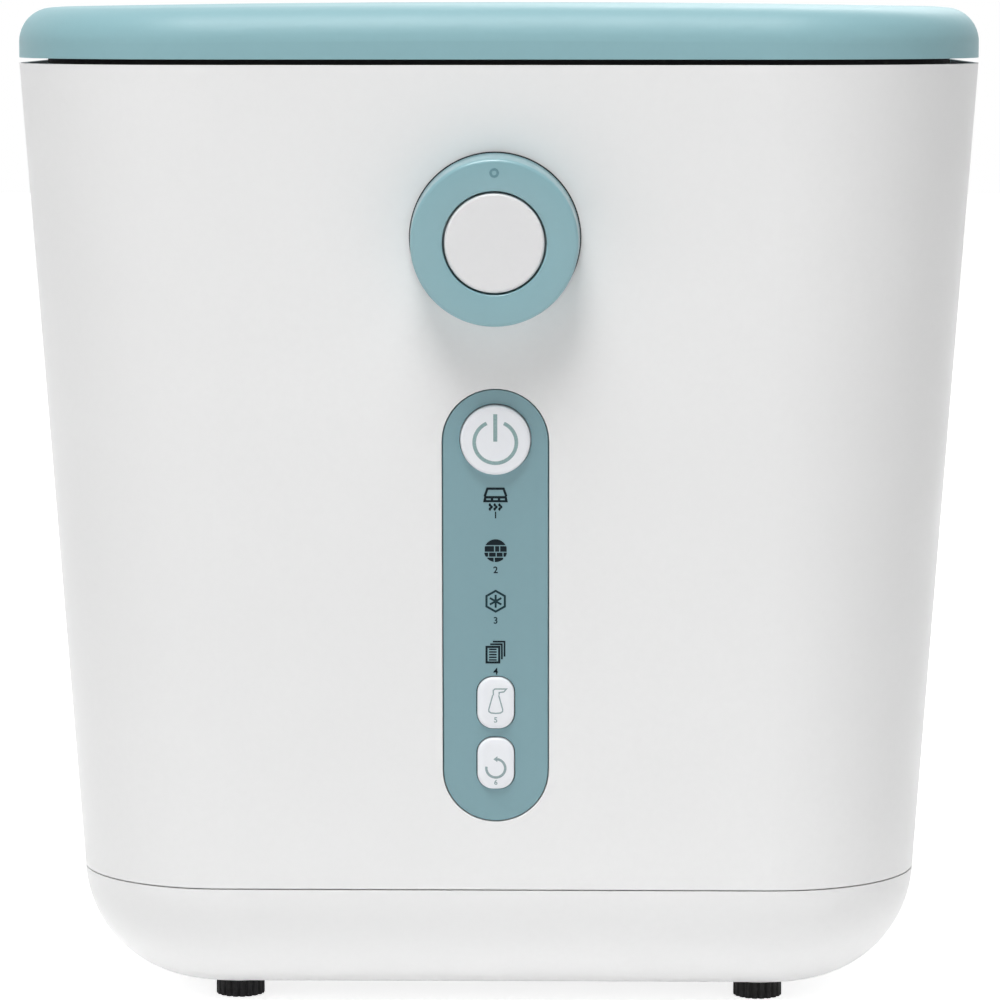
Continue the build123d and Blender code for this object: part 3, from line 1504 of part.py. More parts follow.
with BuildPart() as hinge_pins:
    pin_l = 3 * hinge_eye_w + 2 * hinge_side
    for side in (-1, 1):
        with BuildSketch(Plane.YZ.offset(side * hinge_x - pin_l / 2)):
            with Locations((hinge_y, hinge_z)):
                Circle(hinge_pin_r)
        extrude(amount=pin_l)
        for end in (-1, 1):
            with BuildSketch(Plane.YZ.offset(side * hinge_x + end * (pin_l / 2 + 0.2))):
                with Locations((hinge_y, hinge_z)):
                    Circle(hinge_pin_r + 1.2)
            extrude(amount=end * 1.4)
            with BuildSketch(Plane.YZ.offset(side * hinge_x + end * (pin_l / 2 - 1.0))):
                with Locations((hinge_y, hinge_z)):
                    Circle(hinge_pin_r)
            extrude(amount=end * 1.5)

hinge_pins.part.label = "hinge_pins"
export_step(hinge_pins.part, "parts/hinge_pins.step")
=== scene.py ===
"""Looks of a countertop food waste composter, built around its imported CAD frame.

The scene is in metres, with +Z up. Drawings and profiles are in millimetres.
"""

from math import cos, pi, radians, sin, sqrt, tan

import bmesh
import bpy
from mathutils import Matrix, Vector
from mathutils.geometry import tessellate_polygon


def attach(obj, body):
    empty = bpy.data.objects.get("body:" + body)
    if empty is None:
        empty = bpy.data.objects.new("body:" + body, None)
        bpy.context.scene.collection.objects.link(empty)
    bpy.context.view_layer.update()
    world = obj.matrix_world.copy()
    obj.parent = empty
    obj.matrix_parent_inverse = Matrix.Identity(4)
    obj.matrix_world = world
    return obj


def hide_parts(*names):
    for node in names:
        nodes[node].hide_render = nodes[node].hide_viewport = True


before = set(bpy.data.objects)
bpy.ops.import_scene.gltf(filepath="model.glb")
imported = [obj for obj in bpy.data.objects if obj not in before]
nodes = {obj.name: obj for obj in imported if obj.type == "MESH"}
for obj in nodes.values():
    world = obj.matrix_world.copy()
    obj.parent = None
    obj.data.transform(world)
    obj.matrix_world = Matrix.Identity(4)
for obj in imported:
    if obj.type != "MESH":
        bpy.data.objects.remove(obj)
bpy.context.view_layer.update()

# ------------------------------------------------------------------ sizes and places
MM = 0.001
LEAN = radians(4.0)  # the walls lean in by this much towards the floor
FRONT = Vector((0, -cos(LEAN), -sin(LEAN)))  # out of the front wall
REAR = Vector((0, cos(LEAN), -sin(LEAN)))  # out of the rear wall
UP = Vector((0, 0, 1))
DOWN = -UP
SAME_FACE = 0.01 * MM  # points this close to a plane lie in one face
SAME_POINT = 0.001 * MM  # points this close to each other are one
SOFT_EDGE = radians(40)  # an edge that turns by less is shaded smooth

INK = 0.04 * MM  # thickness of a printed mark
SYMBOL_UPS = (35.8, 18.2, 1.9, -14.6)  # process symbols, in mm above the panel's middle
GREY_SYMBOL = 3  # the process symbol in a paler ink
NUMERAL_DROP = 6.3  # from a process symbol's middle down to its number's
NUMERAL_SIZE = 3.0
NUMERAL_BOLD = 0.06  # added all round a number's lines
NUMERAL_CURVE_STEPS = 4

SENSOR = 36.0
FOCAL_LENGTH = 153.1
CAMERA_AT = Vector((0.0232, -1.4579, 0.3262))
CAMERA_TILT = radians(6.62)  # looks down by this
CAMERA_TURN = radians(0.94)  # and to the left by this
NEAREST, FURTHEST = 0.05, 50.0  # what the camera sees lies between these


def srgb(red, green, blue):
    """A colour written as 0 to 255 screen values, as the linear colour that a shader takes."""
    parts = [v / 255 for v in (red, green, blue)]
    return tuple(v / 12.92 if v < 0.04045 else ((v + 0.055) / 1.055) ** 2.4 for v in parts)


# ------------------------------------------------------------------ shader helpers
def new_material(name):
    material = bpy.data.materials.new(name)
    material.use_nodes = True
    return material, material.node_tree, material.node_tree.nodes["Principled BSDF"]


def put(tree, kind, inputs=None, **settings):
    """Adds a shader node. An input is a value or another node's output, by its name or number."""
    made = tree.nodes.new("ShaderNode" + kind)
    for name, value in settings.items():
        setattr(made, name, value)
    for key, value in (inputs or {}).items():
        if isinstance(value, bpy.types.NodeSocket):
            tree.links.new(value, made.inputs[key])
        else:
            made.inputs[key].default_value = value
    return made


def place(tree, stretch=(1.0, 1.0, 1.0)):
    """Coordinates on the object, in metres, stretched along each axis."""
    at = put(tree, "TexCoord").outputs["Object"]
    return put(tree, "Mapping", {"Vector": at, "Scale": stretch}).outputs["Vector"]


def noise(tree, at, scale, detail=2.0, rough=0.5):
    """Noise of some scale per metre, from 0 to 1."""
    inputs = {"Vector": at, "Scale": scale, "Detail": detail, "Roughness": rough}
    return put(tree, "TexNoise", inputs).outputs["Fac"]


def spread(tree, value, low, high, start=0.3, end=0.7):
    """A value between start and end, spread over low to high with soft ends."""
    inputs = {"Value": value, "From Min": start, "From Max": end, "To Min": low, "To Max": high}
    return put(tree, "MapRange", inputs, interpolation_type="SMOOTHSTEP").outputs["Result"]


def opaque(colour):
    """A written colour with its alpha, or another node's output as it is."""
    return colour if isinstance(colour, bpy.types.NodeSocket) else (*colour, 1.0)


def mix(tree, share, first, second):
    """The first colour at share 0, the second at share 1."""
    inputs = {0: share, 6: opaque(first), 7: opaque(second)}
    return put(tree, "Mix", inputs, data_type="RGBA").outputs[2]


def maths(tree, operation, first, second):
    return put(tree, "Math", {0: first, 1: second}, operation=operation).outputs[0]


def times(tree, first, second):
    return maths(tree, "MULTIPLY", first, second)


def plus(tree, first, second):
    return maths(tree, "ADD", first, second)


def rounded(tree, radius):
    """Normals that round off sharp edges by radius."""
    return put(tree, "Bevel", {"Radius": radius}, samples=4).outputs["Normal"]


def edges(tree, radius):
    """1 along sharp edges and 0 away from them."""
    flat = put(tree, "NewGeometry").outputs["Normal"]
    inputs = {0: rounded(tree, radius), 1: flat}
    turned = put(tree, "VectorMath", inputs, operation="DOT_PRODUCT").outputs["Value"]
    return spread(tree, turned, 1.0, 0.0, start=0.75, end=0.995)


def bump(tree, height, depth, under=None):
    """Bumps of that depth in metres, over another normal."""
    inputs = {"Height": height, "Strength": 1.0, "Distance": depth}
    if under is not None:
        inputs["Normal"] = under
    return put(tree, "Bump", inputs).outputs["Normal"]


def shade(colour, factor):
    return tuple(min(1.0, v * factor) for v in colour)


# ------------------------------------------------------------------ materials
PLASTIC_COAT_ROUGH = 0.08
RUBBER_EDGE = 0.4 * MM  # rounding of edges, in each kind of material
METAL_EDGE = 0.5 * MM
STEEL_EDGE = 0.3 * MM
BOARD_EDGE = 0.2 * MM
LENS_EDGE = 0.3 * MM
LENS_IOR = 1.49


def moulded(name, colour, rough, grain=0.006, edge=0.35, gloss=0.5, coat=0.0):
    """Moulded plastic: cloudy colour, a fine spark-eroded grain, and edges polished by use.

    The grain's depth and the rounding of edges are in mm.
    """
    material, tree, shader = new_material(name)
    at = place(tree)
    cloud = spread(tree, noise(tree, at, 9.0), 0.0, 1.0, 0.15, 0.85)
    speck = noise(tree, at, 420.0, detail=2.0)
    tone = mix(tree, cloud, shade(colour, 0.985), shade(colour, 1.015))
    tone = mix(tree, spread(tree, speck, 0.0, 0.25), tone, shade(colour, 0.97))
    worn = times(tree, edges(tree, edge * MM), spread(tree, noise(tree, at, 60.0), 0.05, 0.35))
    tone = mix(tree, worn, tone, shade(colour, 1.18))
    tree.links.new(tone, shader.inputs["Base Color"])
    smooth = spread(tree, noise(tree, at, 35.0), rough - 0.02, rough + 0.03, 0.15, 0.85)
    polish = plus(tree, smooth, times(tree, worn, -0.2))
    tree.links.new(polish, shader.inputs["Roughness"])
    fine = noise(tree, at, 1500.0, detail=1.0)
    normal = bump(tree, fine, grain * MM, rounded(tree, edge * MM))
    tree.links.new(normal, shader.inputs["Normal"])
    shader.inputs["Specular IOR Level"].default_value = gloss
    shader.inputs["Coat Weight"].default_value = coat
    shader.inputs["Coat Roughness"].default_value = PLASTIC_COAT_ROUGH
    return material


def rubber(name, colour):
    """Matte rubber with dust in its pores."""
    material, tree, shader = new_material(name)
    at = place(tree)
    dust = noise(tree, at, 240.0, detail=6.0, rough=0.7)
    tone = mix(tree, spread(tree, dust, 0.0, 0.5, 0.45, 0.8), colour, (0.09, 0.088, 0.085))
    worn = edges(tree, RUBBER_EDGE)
    tone = mix(tree, times(tree, worn, 0.3), tone, (0.12, 0.12, 0.12))
    tree.links.new(tone, shader.inputs["Base Color"])
    tree.links.new(spread(tree, dust, 0.62, 0.85), shader.inputs["Roughness"])
    fine = noise(tree, at, 900.0, detail=3.0)
    normal = bump(tree, fine, 0.02 * MM, rounded(tree, RUBBER_EDGE))
    tree.links.new(normal, shader.inputs["Normal"])
    shader.inputs["Specular IOR Level"].default_value = 0.35
    return material


def coated(name):
    """Cast aluminium with a dark non-stick coat, speckled with light flakes, rubbed at edges."""
    material, tree, shader = new_material(name)
    at = place(tree)
    flakes = put(tree, "TexVoronoi", {"Vector": at, "Scale": 900.0}, feature="F1")
    dot = spread(tree, flakes.outputs["Distance"], 1.0, 0.0, 0.08, 0.2)
    rare = spread(tree, noise(tree, at, 300.0), 0.0, 1.0, 0.5, 0.6)
    base = mix(tree, noise(tree, at, 25.0, 4.0), (0.055, 0.056, 0.058), (0.085, 0.086, 0.09))
    tone = mix(tree, times(tree, dot, rare), base, (0.3, 0.3, 0.3))
    worn = times(tree, edges(tree, METAL_EDGE), spread(tree, noise(tree, at, 90.0), 0.0, 0.9))
    tone = mix(tree, worn, tone, (0.42, 0.42, 0.43))
    tree.links.new(tone, shader.inputs["Base Color"])
    tree.links.new(spread(tree, worn, 0.0, 0.8, 0.0, 1.0), shader.inputs["Metallic"])
    level = spread(tree, noise(tree, at, 160.0, 4.0), 0.3, 0.46)
    tree.links.new(level, shader.inputs["Roughness"])
    orange_peel = noise(tree, at, 500.0, detail=2.0)
    normal = bump(tree, orange_peel, 0.03 * MM, rounded(tree, METAL_EDGE))
    tree.links.new(normal, shader.inputs["Normal"])
    return material


def cast_metal(name, colour):
    """Sand-blasted cast aluminium, a little brighter where it rubs."""
    material, tree, shader = new_material(name)
    at = place(tree)
    rough = 0.42
    stain = noise(tree, at, 45.0, detail=6.0, rough=0.65)
    tone = mix(tree, spread(tree, stain, 0.0, 1.0), shade(colour, 0.78), colour)
    worn = times(tree, edges(tree, METAL_EDGE), spread(tree, stain, 0.3, 1.0))
    tone = mix(tree, worn, tone, shade(colour, 1.35))
    tree.links.new(tone, shader.inputs["Base Color"])
    shader.inputs["Metallic"].default_value = 1.0
    level = plus(tree, spread(tree, stain, rough + 0.08, rough - 0.06), times(tree, worn, -0.15))
    tree.links.new(level, shader.inputs["Roughness"])
    pits = put(tree, "TexVoronoi", {"Vector": at, "Scale": 700.0}, feature="SMOOTH_F1")
    height = plus(tree, pits.outputs["Distance"], noise(tree, at, 1400.0))
    normal = bump(tree, height, 0.05 * MM, rounded(tree, METAL_EDGE))
    tree.links.new(normal, shader.inputs["Normal"])
    return material


def machined(name, colour, stretch=(1.0, 1.0, 30.0)):
    """Turned or brushed steel, its fine lines running square to the stretched axis."""
    material, tree, shader = new_material(name)
    rough = 0.28
    lines = noise(tree, place(tree, stretch), 260.0, detail=5.0, rough=0.75)
    smear = noise(tree, place(tree), 30.0, detail=4.0)
    tone = mix(tree, spread(tree, lines, 0.0, 1.0, 0.25, 0.75), shade(colour, 0.8), colour)
    tone = mix(tree, spread(tree, smear, 0.0, 0.35), tone, shade(colour, 0.68))
    tree.links.new(tone, shader.inputs["Base Color"])
    shader.inputs["Metallic"].default_value = 1.0
    level = plus(tree, spread(tree, lines, -0.07, 0.07), spread(tree, smear, rough, rough + 0.12))
    tree.links.new(level, shader.inputs["Roughness"])
    normal = bump(tree, lines, 0.012 * MM, rounded(tree, STEEL_EDGE))
    tree.links.new(normal, shader.inputs["Normal"])
    return material


def circuit(name):
    """Green board: copper tracks under the lacquer, as a grid that skips cells."""
    material, tree, shader = new_material(name)
    at = place(tree)
    inputs = {"Vector": at, "Scale": 420.0, "Randomness": 0.15}
    tracks = put(tree, "TexVoronoi", inputs, feature="DISTANCE_TO_EDGE", distance="EUCLIDEAN")
    line = spread(tree, tracks.outputs["Distance"], 1.0, 0.0, 0.06, 0.1)
    some = spread(tree, noise(tree, at, 70.0), 0.0, 1.0, 0.48, 0.52)
    cloud = noise(tree, at, 20.0, 3.0)
    lacquer = mix(tree, cloud, (0.012, 0.075, 0.03), (0.018, 0.11, 0.045))
    track = times(tree, line, some)
    tree.links.new(mix(tree, track, lacquer, (0.05, 0.2, 0.07)), shader.inputs["Base Color"])
    tree.links.new(spread(tree, cloud, 0.25, 0.4), shader.inputs["Roughness"])
    normal = bump(tree, track, 0.03 * MM, rounded(tree, BOARD_EDGE))
    tree.links.new(normal, shader.inputs["Normal"])
    return material


def granules(name):
    """Black carbon grains pressed into a block."""
    material, tree, shader = new_material(name)
    at = place(tree)
    grain = put(tree, "TexVoronoi", {"Vector": at, "Scale": 520.0}, feature="F1")
    grey = put(tree, "RGBToBW", {"Color": grain.outputs["Color"]}).outputs[0]
    tone = mix(tree, grey, (0.012, 0.012, 0.013), (0.05, 0.05, 0.052))
    tree.links.new(tone, shader.inputs["Base Color"])
    tree.links.new(spread(tree, grey, 0.45, 0.85, 0.0, 1.0), shader.inputs["Roughness"])
    height = times(tree, grain.outputs["Distance"], -1.0)
    tree.links.new(bump(tree, height, 0.9 * MM), shader.inputs["Normal"])
    return material


def lens(name):
    """Clear cast lens of a lamp, milky inside."""
    material, tree, shader = new_material(name)
    haze = noise(tree, place(tree), 380.0, 3.0)
    tone = mix(tree, spread(tree, haze, 0.0, 1.0), (0.86, 0.9, 0.88), (0.95, 0.96, 0.95))
    tree.links.new(tone, shader.inputs["Base Color"])
    tree.links.new(spread(tree, haze, 0.12, 0.25), shader.inputs["Roughness"])
    normal = bump(tree, haze, 0.01 * MM, rounded(tree, LENS_EDGE))
    tree.links.new(normal, shader.inputs["Normal"])
    shader.inputs["Transmission Weight"].default_value = 0.5
    shader.inputs["IOR"].default_value = LENS_IOR
    return material


def printed(name, colour):
    """Screen-printed ink: uneven film, slightly rough at its surface."""
    material, tree, shader = new_material(name)
    at = place(tree)
    film = noise(tree, at, 2600.0, detail=3.0)
    tone = mix(tree, spread(tree, film, 0.0, 1.0), shade(colour, 0.9), shade(colour, 1.1))
    tree.links.new(tone, shader.inputs["Base Color"])
    tree.links.new(spread(tree, film, 0.5, 0.68), shader.inputs["Roughness"])
    tree.links.new(bump(tree, film, 0.004 * MM), shader.inputs["Normal"])
    shader.inputs["Specular IOR Level"].default_value = 0.12
    return material


shell_white = moulded("shell_white", srgb(236, 236, 236), rough=0.38, gloss=0.4)
part_white = moulded("part_white", srgb(223, 223, 224), rough=0.33, grain=0.002, coat=0.25)
key_white = moulded("key_white", srgb(233, 235, 239), rough=0.33, grain=0.002, coat=0.3)
lid_teal = moulded("lid_teal", srgb(135, 174, 181), rough=0.46, gloss=0.35)
knob_teal = moulded("knob_teal", srgb(125, 166, 174), rough=0.34, edge=0.2, coat=0.45)
panel_teal = moulded("panel_teal", srgb(119, 155, 163), rough=0.33, edge=0.2)
deck_grey = moulded("deck_grey", srgb(214, 217, 219), rough=0.42)
black_plastic = moulded("black_plastic", (0.022, 0.022, 0.024), rough=0.42, grain=0.02)
natural_plastic = moulded("natural_plastic", (0.78, 0.75, 0.66), rough=0.38)
seal_rubber = rubber("seal_rubber", (0.016, 0.016, 0.017))
# painted shade: a near-black ring behind the knob, standing in for the shade in the gap there
painted_gap_shade = rubber("painted_gap_shade", (0.01, 0.012, 0.014))
pot_coat = coated("pot_coat")
cast_aluminium = cast_metal("cast_aluminium", (0.56, 0.57, 0.58))
plate_steel = machined("plate_steel", (0.58, 0.58, 0.59), stretch=(1.0, 25.0, 1.0))
turned_steel = machined("turned_steel", (0.62, 0.62, 0.63))
board_green = circuit("board_green")
lamp_lens = lens("lamp_lens")
carbon = granules("carbon")
dark_ink = printed("dark_ink", srgb(10, 24, 30))
grey_ink = printed("grey_ink", srgb(24, 48, 54))
pale_ink = printed("pale_ink", srgb(146, 172, 172))
faint_ink = printed("faint_ink", srgb(150, 168, 170))
# painted shade: the darker ring of the knob's index pit, drawn as a print
painted_pit_shade = printed("painted_pit_shade", srgb(104, 142, 150))

MATERIALS = {
    shell_white: ("outer_shell", "base_shell"),
    part_white: ("knob_cap",),
    key_white: ("power_button", "clean_button", "reset_button"),
    lid_teal: ("lid_cover",),
    knob_teal: ("knob_ring",),
    panel_teal: ("front_panel",),
    deck_grey: ("top_deck", "lid_liner"),
    black_plastic: (
        "exhaust_duct", "filter_bay", "filter_cassette", "fan_duct", "fan_frame", "fan_impeller",
        "rear_grille", "power_inlet", "lid_switch", "knob_bush", "latch_guide", "latch_slider",
        "lid_striker", "tact_switches", "rotor_cap",
    ),
    natural_plastic: ("idler_gear", "output_gear", "bucket_bush"),
    seal_rubber: ("deck_seal", "lid_gasket", "feet"),
    pot_coat: ("bucket",),
    cast_aluminium: ("grinding_rotor", "heater_cup", "heater_plate"),
    plate_steel: ("gear_plate_lower", "gear_plate_upper", "gear_motor", "thermal_sensor"),
    turned_steel: (
        "cup_standoffs", "bucket_handle", "plate_spacers", "shaft_bearings", "idler_axle",
        "drive_shaft", "motor_pinion", "knob_shaft", "knob_clip", "hinge_pins", "deck_screws",
        "case_screws", "lid_screws",
    ),
    board_green: ("display_board", "control_board", "power_board"),
    lamp_lens: ("indicator_leds",),
    carbon: ("carbon_block",),
}
for material, names in MATERIALS.items():
    for node in names:
        nodes[node].data.materials.clear()
        nodes[node].data.materials.append(material)


# ------------------------------------------------------------------ shape helpers
def on_face(node, out):
    """Matrix of the outermost face of a node along a direction: x right, y up and z out of it."""
    points = [v.co for v in nodes[node].data.vertices]
    far = max(p.dot(out) for p in points)
    face = [p for p in points if far - p.dot(out) < SAME_FACE]
    right = UP.cross(out).normalized()
    up = out.cross(right)
    across = [p.dot(right) for p in face]
    along = [p.dot(up) for p in face]
    middle = (
        right * (min(across) + max(across)) / 2 + up * (min(along) + max(along)) / 2 + out * far
    )
    axes = Matrix((right, up, out)).transposed().to_4x4()
    return Matrix.Translation(middle) @ axes


def arc(centre, radius, start, end, steps):
    """Points along an arc, with angles in degrees."""
    turns = [radians(start + (end - start) * i / steps) for i in range(steps + 1)]
    return [(centre[0] + radius * cos(t), centre[1] + radius * sin(t)) for t in turns]


def circle(radius, steps=48):
    return arc((0, 0), radius, 0, 360 - 360 / steps, steps - 1)


def rectangle(x0, y0, x1, y1):
    return [(x0, y0), (x1, y0), (x1, y1), (x0, y1)]


def turned(x, y, angle):
    """A point turned about the middle."""
    return x * cos(angle) - y * sin(angle), x * sin(angle) + y * cos(angle)


MITRE_LIMIT = 0.35  # a pen stroke's sharp corner is cut short below this cosine


def stroke(points, width, closed=False):
    """Outline of a line drawn with a pen of that width: one loop, or two where it is closed."""
    line = [Vector(p) for p in points]
    sides = ([], [])
    for i, here in enumerate(line):
        ways = []
        if closed or i > 0:
            ways.append(here - line[i - 1])
        if closed or i + 1 < len(line):
            ways.append(line[(i + 1) % len(line)] - here)
        normals = [Vector((-w.y, w.x)).normalized() for w in ways]
        normal = sum(normals, Vector((0, 0))).normalized()
        reach = width / 2 / max(normal.dot(normals[0]), MITRE_LIMIT)
        sides[0].append(here + normal * reach)
        sides[1].append(here - normal * reach)
    return [sides[0], sides[1]] if closed else [sides[0] + sides[1][::-1]]


def add_slab(mesh, loops, plane, low, high):
    """Adds a flat solid to a bmesh: loops[0] is its outline in mm, the others are holes in it."""
    levels = []
    for height in (low, high):
        places = [[plane @ Vector((x * MM, y * MM, height)) for x, y in loop] for loop in loops]
        levels.append([[mesh.verts.new(p) for p in loop] for loop in places])
    bottom, top = ([v for loop in level for v in loop] for level in levels)
    for a, b, c in tessellate_polygon([[Vector((x, y, 0)) for x, y in loop] for loop in loops]):
        mesh.faces.new((top[a], top[b], top[c]))
        mesh.faces.new((bottom[c], bottom[b], bottom[a]))
    for low_loop, high_loop in zip(*levels):
        for i in range(len(low_loop)):
            j = (i + 1) % len(low_loop)
            mesh.faces.new((low_loop[i], low_loop[j], high_loop[j], high_loop[i]))


def round_corners(points, radii, steps=6):
    """A closed outline whose corners are rounded by their radii."""
    corners = [Vector(p) for p in points]
    outline = []
    for i, (here, radius) in enumerate(zip(corners, radii)):
        if not radius:
            outline.append(here)
            continue
        back = (corners[i - 1] - here).normalized()
        on = (corners[(i + 1) % len(corners)] - here).normalized()
        half = back.angle(on) / 2
        centre = here + (back + on).normalized() * radius / sin(half)
        start = here + back * radius / tan(half) - centre
        end = here + on * radius / tan(half) - centre
        for k in range(steps + 1):
            outline.append(centre + start.slerp(end, k / steps).normalized() * radius)
    return outline


def lift(outline, height):
    return [(x, y, height) for x, y in outline]


def add_skin(mesh, loops, plane):
    """Joins loops of (x, y, height) in mm, each with as many points, into a skin without ends."""
    rings = [[mesh.verts.new(plane @ (Vector(p) * MM)) for p in loop] for loop in loops]
    for ring, above in zip(rings, rings[1:]):
        for i in range(len(ring)):
            j = (i + 1) % len(ring)
            mesh.faces.new((ring[i], ring[j], above[j], above[i]))
    return rings


def lathe(mesh, plane, profile, steps=128):
    """Turns a closed profile of (radius, height) in mm about the plane's middle."""
    loops = [lift(circle(radius, steps), height) for radius, height in [*profile, profile[0]]]
    add_skin(mesh, loops, plane)
    bmesh.ops.remove_doubles(mesh, verts=mesh.verts, dist=SAME_POINT)


def measure(node, plane):
    """Least and largest radius of a node about a plane's middle, and its lowest level, in mm."""
    into = plane.inverted()
    points = [into @ v.co / MM for v in nodes[node].data.vertices]
    radii = [p.xy.length for p in points]
    return min(radii), max(radii), min(p.z for p in points)


def finish_piece(name, mesh, material, body, smooth=0.0):
    """Turns a bmesh into a piece that rides on a body, smooth where it turns less than an angle."""
    bmesh.ops.recalc_face_normals(mesh, faces=mesh.faces)
    data = bpy.data.meshes.new(name)
    mesh.to_mesh(data)
    mesh.free()
    if smooth:
        data.shade_smooth()
        data.set_sharp_from_angle(angle=smooth)
    data.materials.append(material)
    piece = bpy.data.objects.new(name, data)
    bpy.context.scene.collection.objects.link(piece)
    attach(piece, body)
    return piece


def print_on(name, plane, drawing, ink, body, at=(0.0, 0.0)):
    """Prints a drawing, a list of shapes in mm about its own middle, on a plane."""
    mesh = bmesh.new()
    for loops in drawing:
        moved = [[(x + at[0], y + at[1]) for x, y in loop] for loop in loops]
        add_slab(mesh, moved, plane, 0.0, INK)
    return finish_piece(name, mesh, ink, body)


def numeral(name, text, plane, at, ink, body, size=NUMERAL_SIZE):
    """A printed number, its middle at a place in mm."""
    curve = bpy.data.curves.new(name, "FONT")
    curve.body = text
    curve.size = size * MM
    curve.align_x = "CENTER"
    curve.align_y = "CENTER"
    curve.extrude = INK / 2
    curve.offset = NUMERAL_BOLD * MM
    curve.resolution_u = NUMERAL_CURVE_STEPS
    flat = bpy.data.objects.new(name + "_curve", curve)
    data = bpy.data.meshes.new_from_object(flat)
    bpy.data.objects.remove(flat)
    data.transform(plane @ Matrix.Translation((at[0] * MM, at[1] * MM, INK / 2)))
    data.materials.clear()
    data.materials.append(ink)
    piece = bpy.data.objects.new(name, data)
    bpy.context.scene.collection.objects.link(piece)
    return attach(piece, body)


def disc_part(x0, y0, x1, y1, radius, steps=14):
    """What a rectangle and a disc about the middle have in common."""
    x0, x1 = max(x0, -radius), min(x1, radius)
    across = [x0 + (x1 - x0) * i / steps for i in range(steps + 1)]
    half = [sqrt(max(radius * radius - x * x, 0.0)) for x in across]
    upper = [(x, min(y1, h)) for x, h in zip(across, half) if min(y1, h) > max(y0, -h)]
    lower = [(x, max(y0, -h)) for x, h in zip(across, half) if min(y1, h) > max(y0, -h)]
    return lower + upper[::-1]


# ------------------------------------------------------------------ symbols on the panel
def drying():
    """A tray with a slotted front over three waves of heat."""
    pen, wave_pen = 0.75, 0.66
    slot_half = 0.7
    sway, wave_top, wave_tall, steps = 0.34, -2.6, 2.0, 24
    shapes = [stroke([(-3.4, -0.2), (-2.55, 2.25), (2.55, 2.25), (3.4, -0.2)], pen)]
    front = [(-3.9, -2.1), (3.9, -2.1), (3.5, -0.1), (-3.5, -0.1)]
    slots = [rectangle(x - slot_half, -1.4, x + slot_half, -0.9) for x in (-2.2, 0.0, 2.2)]
    shapes.append([front, *slots])
    for x in (-1.5, 0.0, 1.5):
        wave = []
        for i in range(steps + 1):
            wave.append((x - sway * sin(3 * pi * i / steps), wave_top - wave_tall * i / steps))
        shapes.append(stroke(wave, wave_pen))
    return shapes


def crushing():
    """A disc that has broken into blocks."""
    radius = 3.65
    blocks = (
        (-4.0, 1.75, 4.0, 4.0),
        (-4.0, -0.35, -0.45, 1.45),
        (-0.15, -0.35, 1.15, 1.45),
        (1.45, -0.35, 4.0, 1.45),
        (-4.0, -1.95, -2.35, -0.65),
        (-2.05, -1.95, 0.05, -0.65),
        (0.35, -1.95, 2.2, -0.65),
        (2.5, -1.95, 4.0, -0.65),
        (-2.6, -4.0, -0.6, -2.25),
        (-0.3, -4.0, 2.4, -2.25),
    )
    return [[disc_part(*block, radius)] for block in blocks]


def cooling():
    """A six-armed flake in a hexagon."""
    pen, corner_r = 0.68, 3.35
    arm_half, arm_reach = 0.33, 2.1
    turns = [radians(30 + 60 * i) for i in range(6)]
    hexagon = [turned(corner_r, 0, turn) for turn in turns]
    flake = []
    for turn in turns:
        flake.append(turned(arm_reach, -arm_half, turn))
        flake.append(turned(arm_reach, arm_half, turn))
        flake.append(turned(2 * arm_half, 0, turn + pi / 6))
    return [stroke(hexagon, pen, closed=True), [flake]]


def filtering():
    """Three stacked filter sheets, the front one ruled."""
    pen, line_pen, back_pen = 0.68, 0.46, 0.55
    left, right, low, high = -2.9, 1.1, -3.3, 1.75
    margin, first_line, line_step = 0.8, 0.95, 0.86
    shift = 0.85  # from each sheet to the one behind it
    shapes = [stroke(rectangle(left, low, right, high), pen, closed=True)]
    for row in range(5):
        y = first_line - line_step * row
        shapes.append(stroke([(left + margin, y), (right - margin, y)], line_pen))
    for sheet in (1, 2):
        step = shift * sheet
        back = [(-2.6, high), (right, high), (right, -3.1)]
        shapes.append(stroke([(x + step, y + step) for x, y in back], back_pen))
    return shapes


def power_sign():
    """A broken ring with an upright line in its gap."""
    ring = arc((0, -0.56), 6.6, 114.0, 426.0, 72)
    return [stroke(ring, 1.15), stroke([(0, -0.3), (0, 8.4)], 1.25)]


def spray_bottle():
    """A flask with a trigger head, drawn in thin lines."""
    pen = 0.42
    head = [(-0.75, 2.7), (-0.75, 4.3), (-0.2, 4.75), (3.4, 4.75), (2.6, 3.8), (1.1, 3.6), (1.1, 2.9)]
    flask = [(-0.95, 2.7), (-2.2, -1.9), (-2.15, -2.6), (-1.5, -3.05), (0, -3.2)]
    flask += [(-x, y) for x, y in flask[::-1][1:]]
    return [stroke(head, pen), stroke(flask, pen)]


def turn_back():
    """A bow that turns left, with an arrow's head at its end."""
    bow = arc((0, -1.4), 3.0, 170.0, 440.0, 60)
    head = [(0.55, 2.55), (-0.75, 1.55), (0.5, 0.6)]
    return [stroke(bow, 0.8), [head]]


def mark_panel():
    """Prints the four process symbols and their numbers."""
    face = on_face("front_panel", FRONT)
    symbols = (drying(), crushing(), cooling(), filtering())
    for number, (up, drawing) in enumerate(zip(SYMBOL_UPS, symbols), start=1):
        ink = grey_ink if number == GREY_SYMBOL else dark_ink
        below = (0, up - NUMERAL_DROP)
        print_on(f"symbol_{number}", face, drawing, ink, "housing", (0, up))
        numeral(f"numeral_{number}", str(number), face, below, ink, "housing")


def mark_key(node, body, name, drawing, ink, number=None, drop=0.0, size=NUMERAL_SIZE):
    """Prints a key's symbol on its face, and a number that far below the middle."""
    face = on_face(node, FRONT)
    print_on(name, face, drawing, ink, body)
    if number:
        numeral(f"numeral_{number}", str(number), face, (0, -drop), ink, body, size)


mark_panel()
mark_key("power_button", "power_key", "power_symbol", power_sign(), pale_ink)
mark_key(
    "clean_button", "clean_key", "clean_symbol", spray_bottle(), faint_ink,
    number=5, drop=5.4, size=2.4,
)
mark_key(
    "reset_button", "reset_key", "reset_symbol", turn_back(), faint_ink,
    number=6, drop=6.1, size=2.2,
)

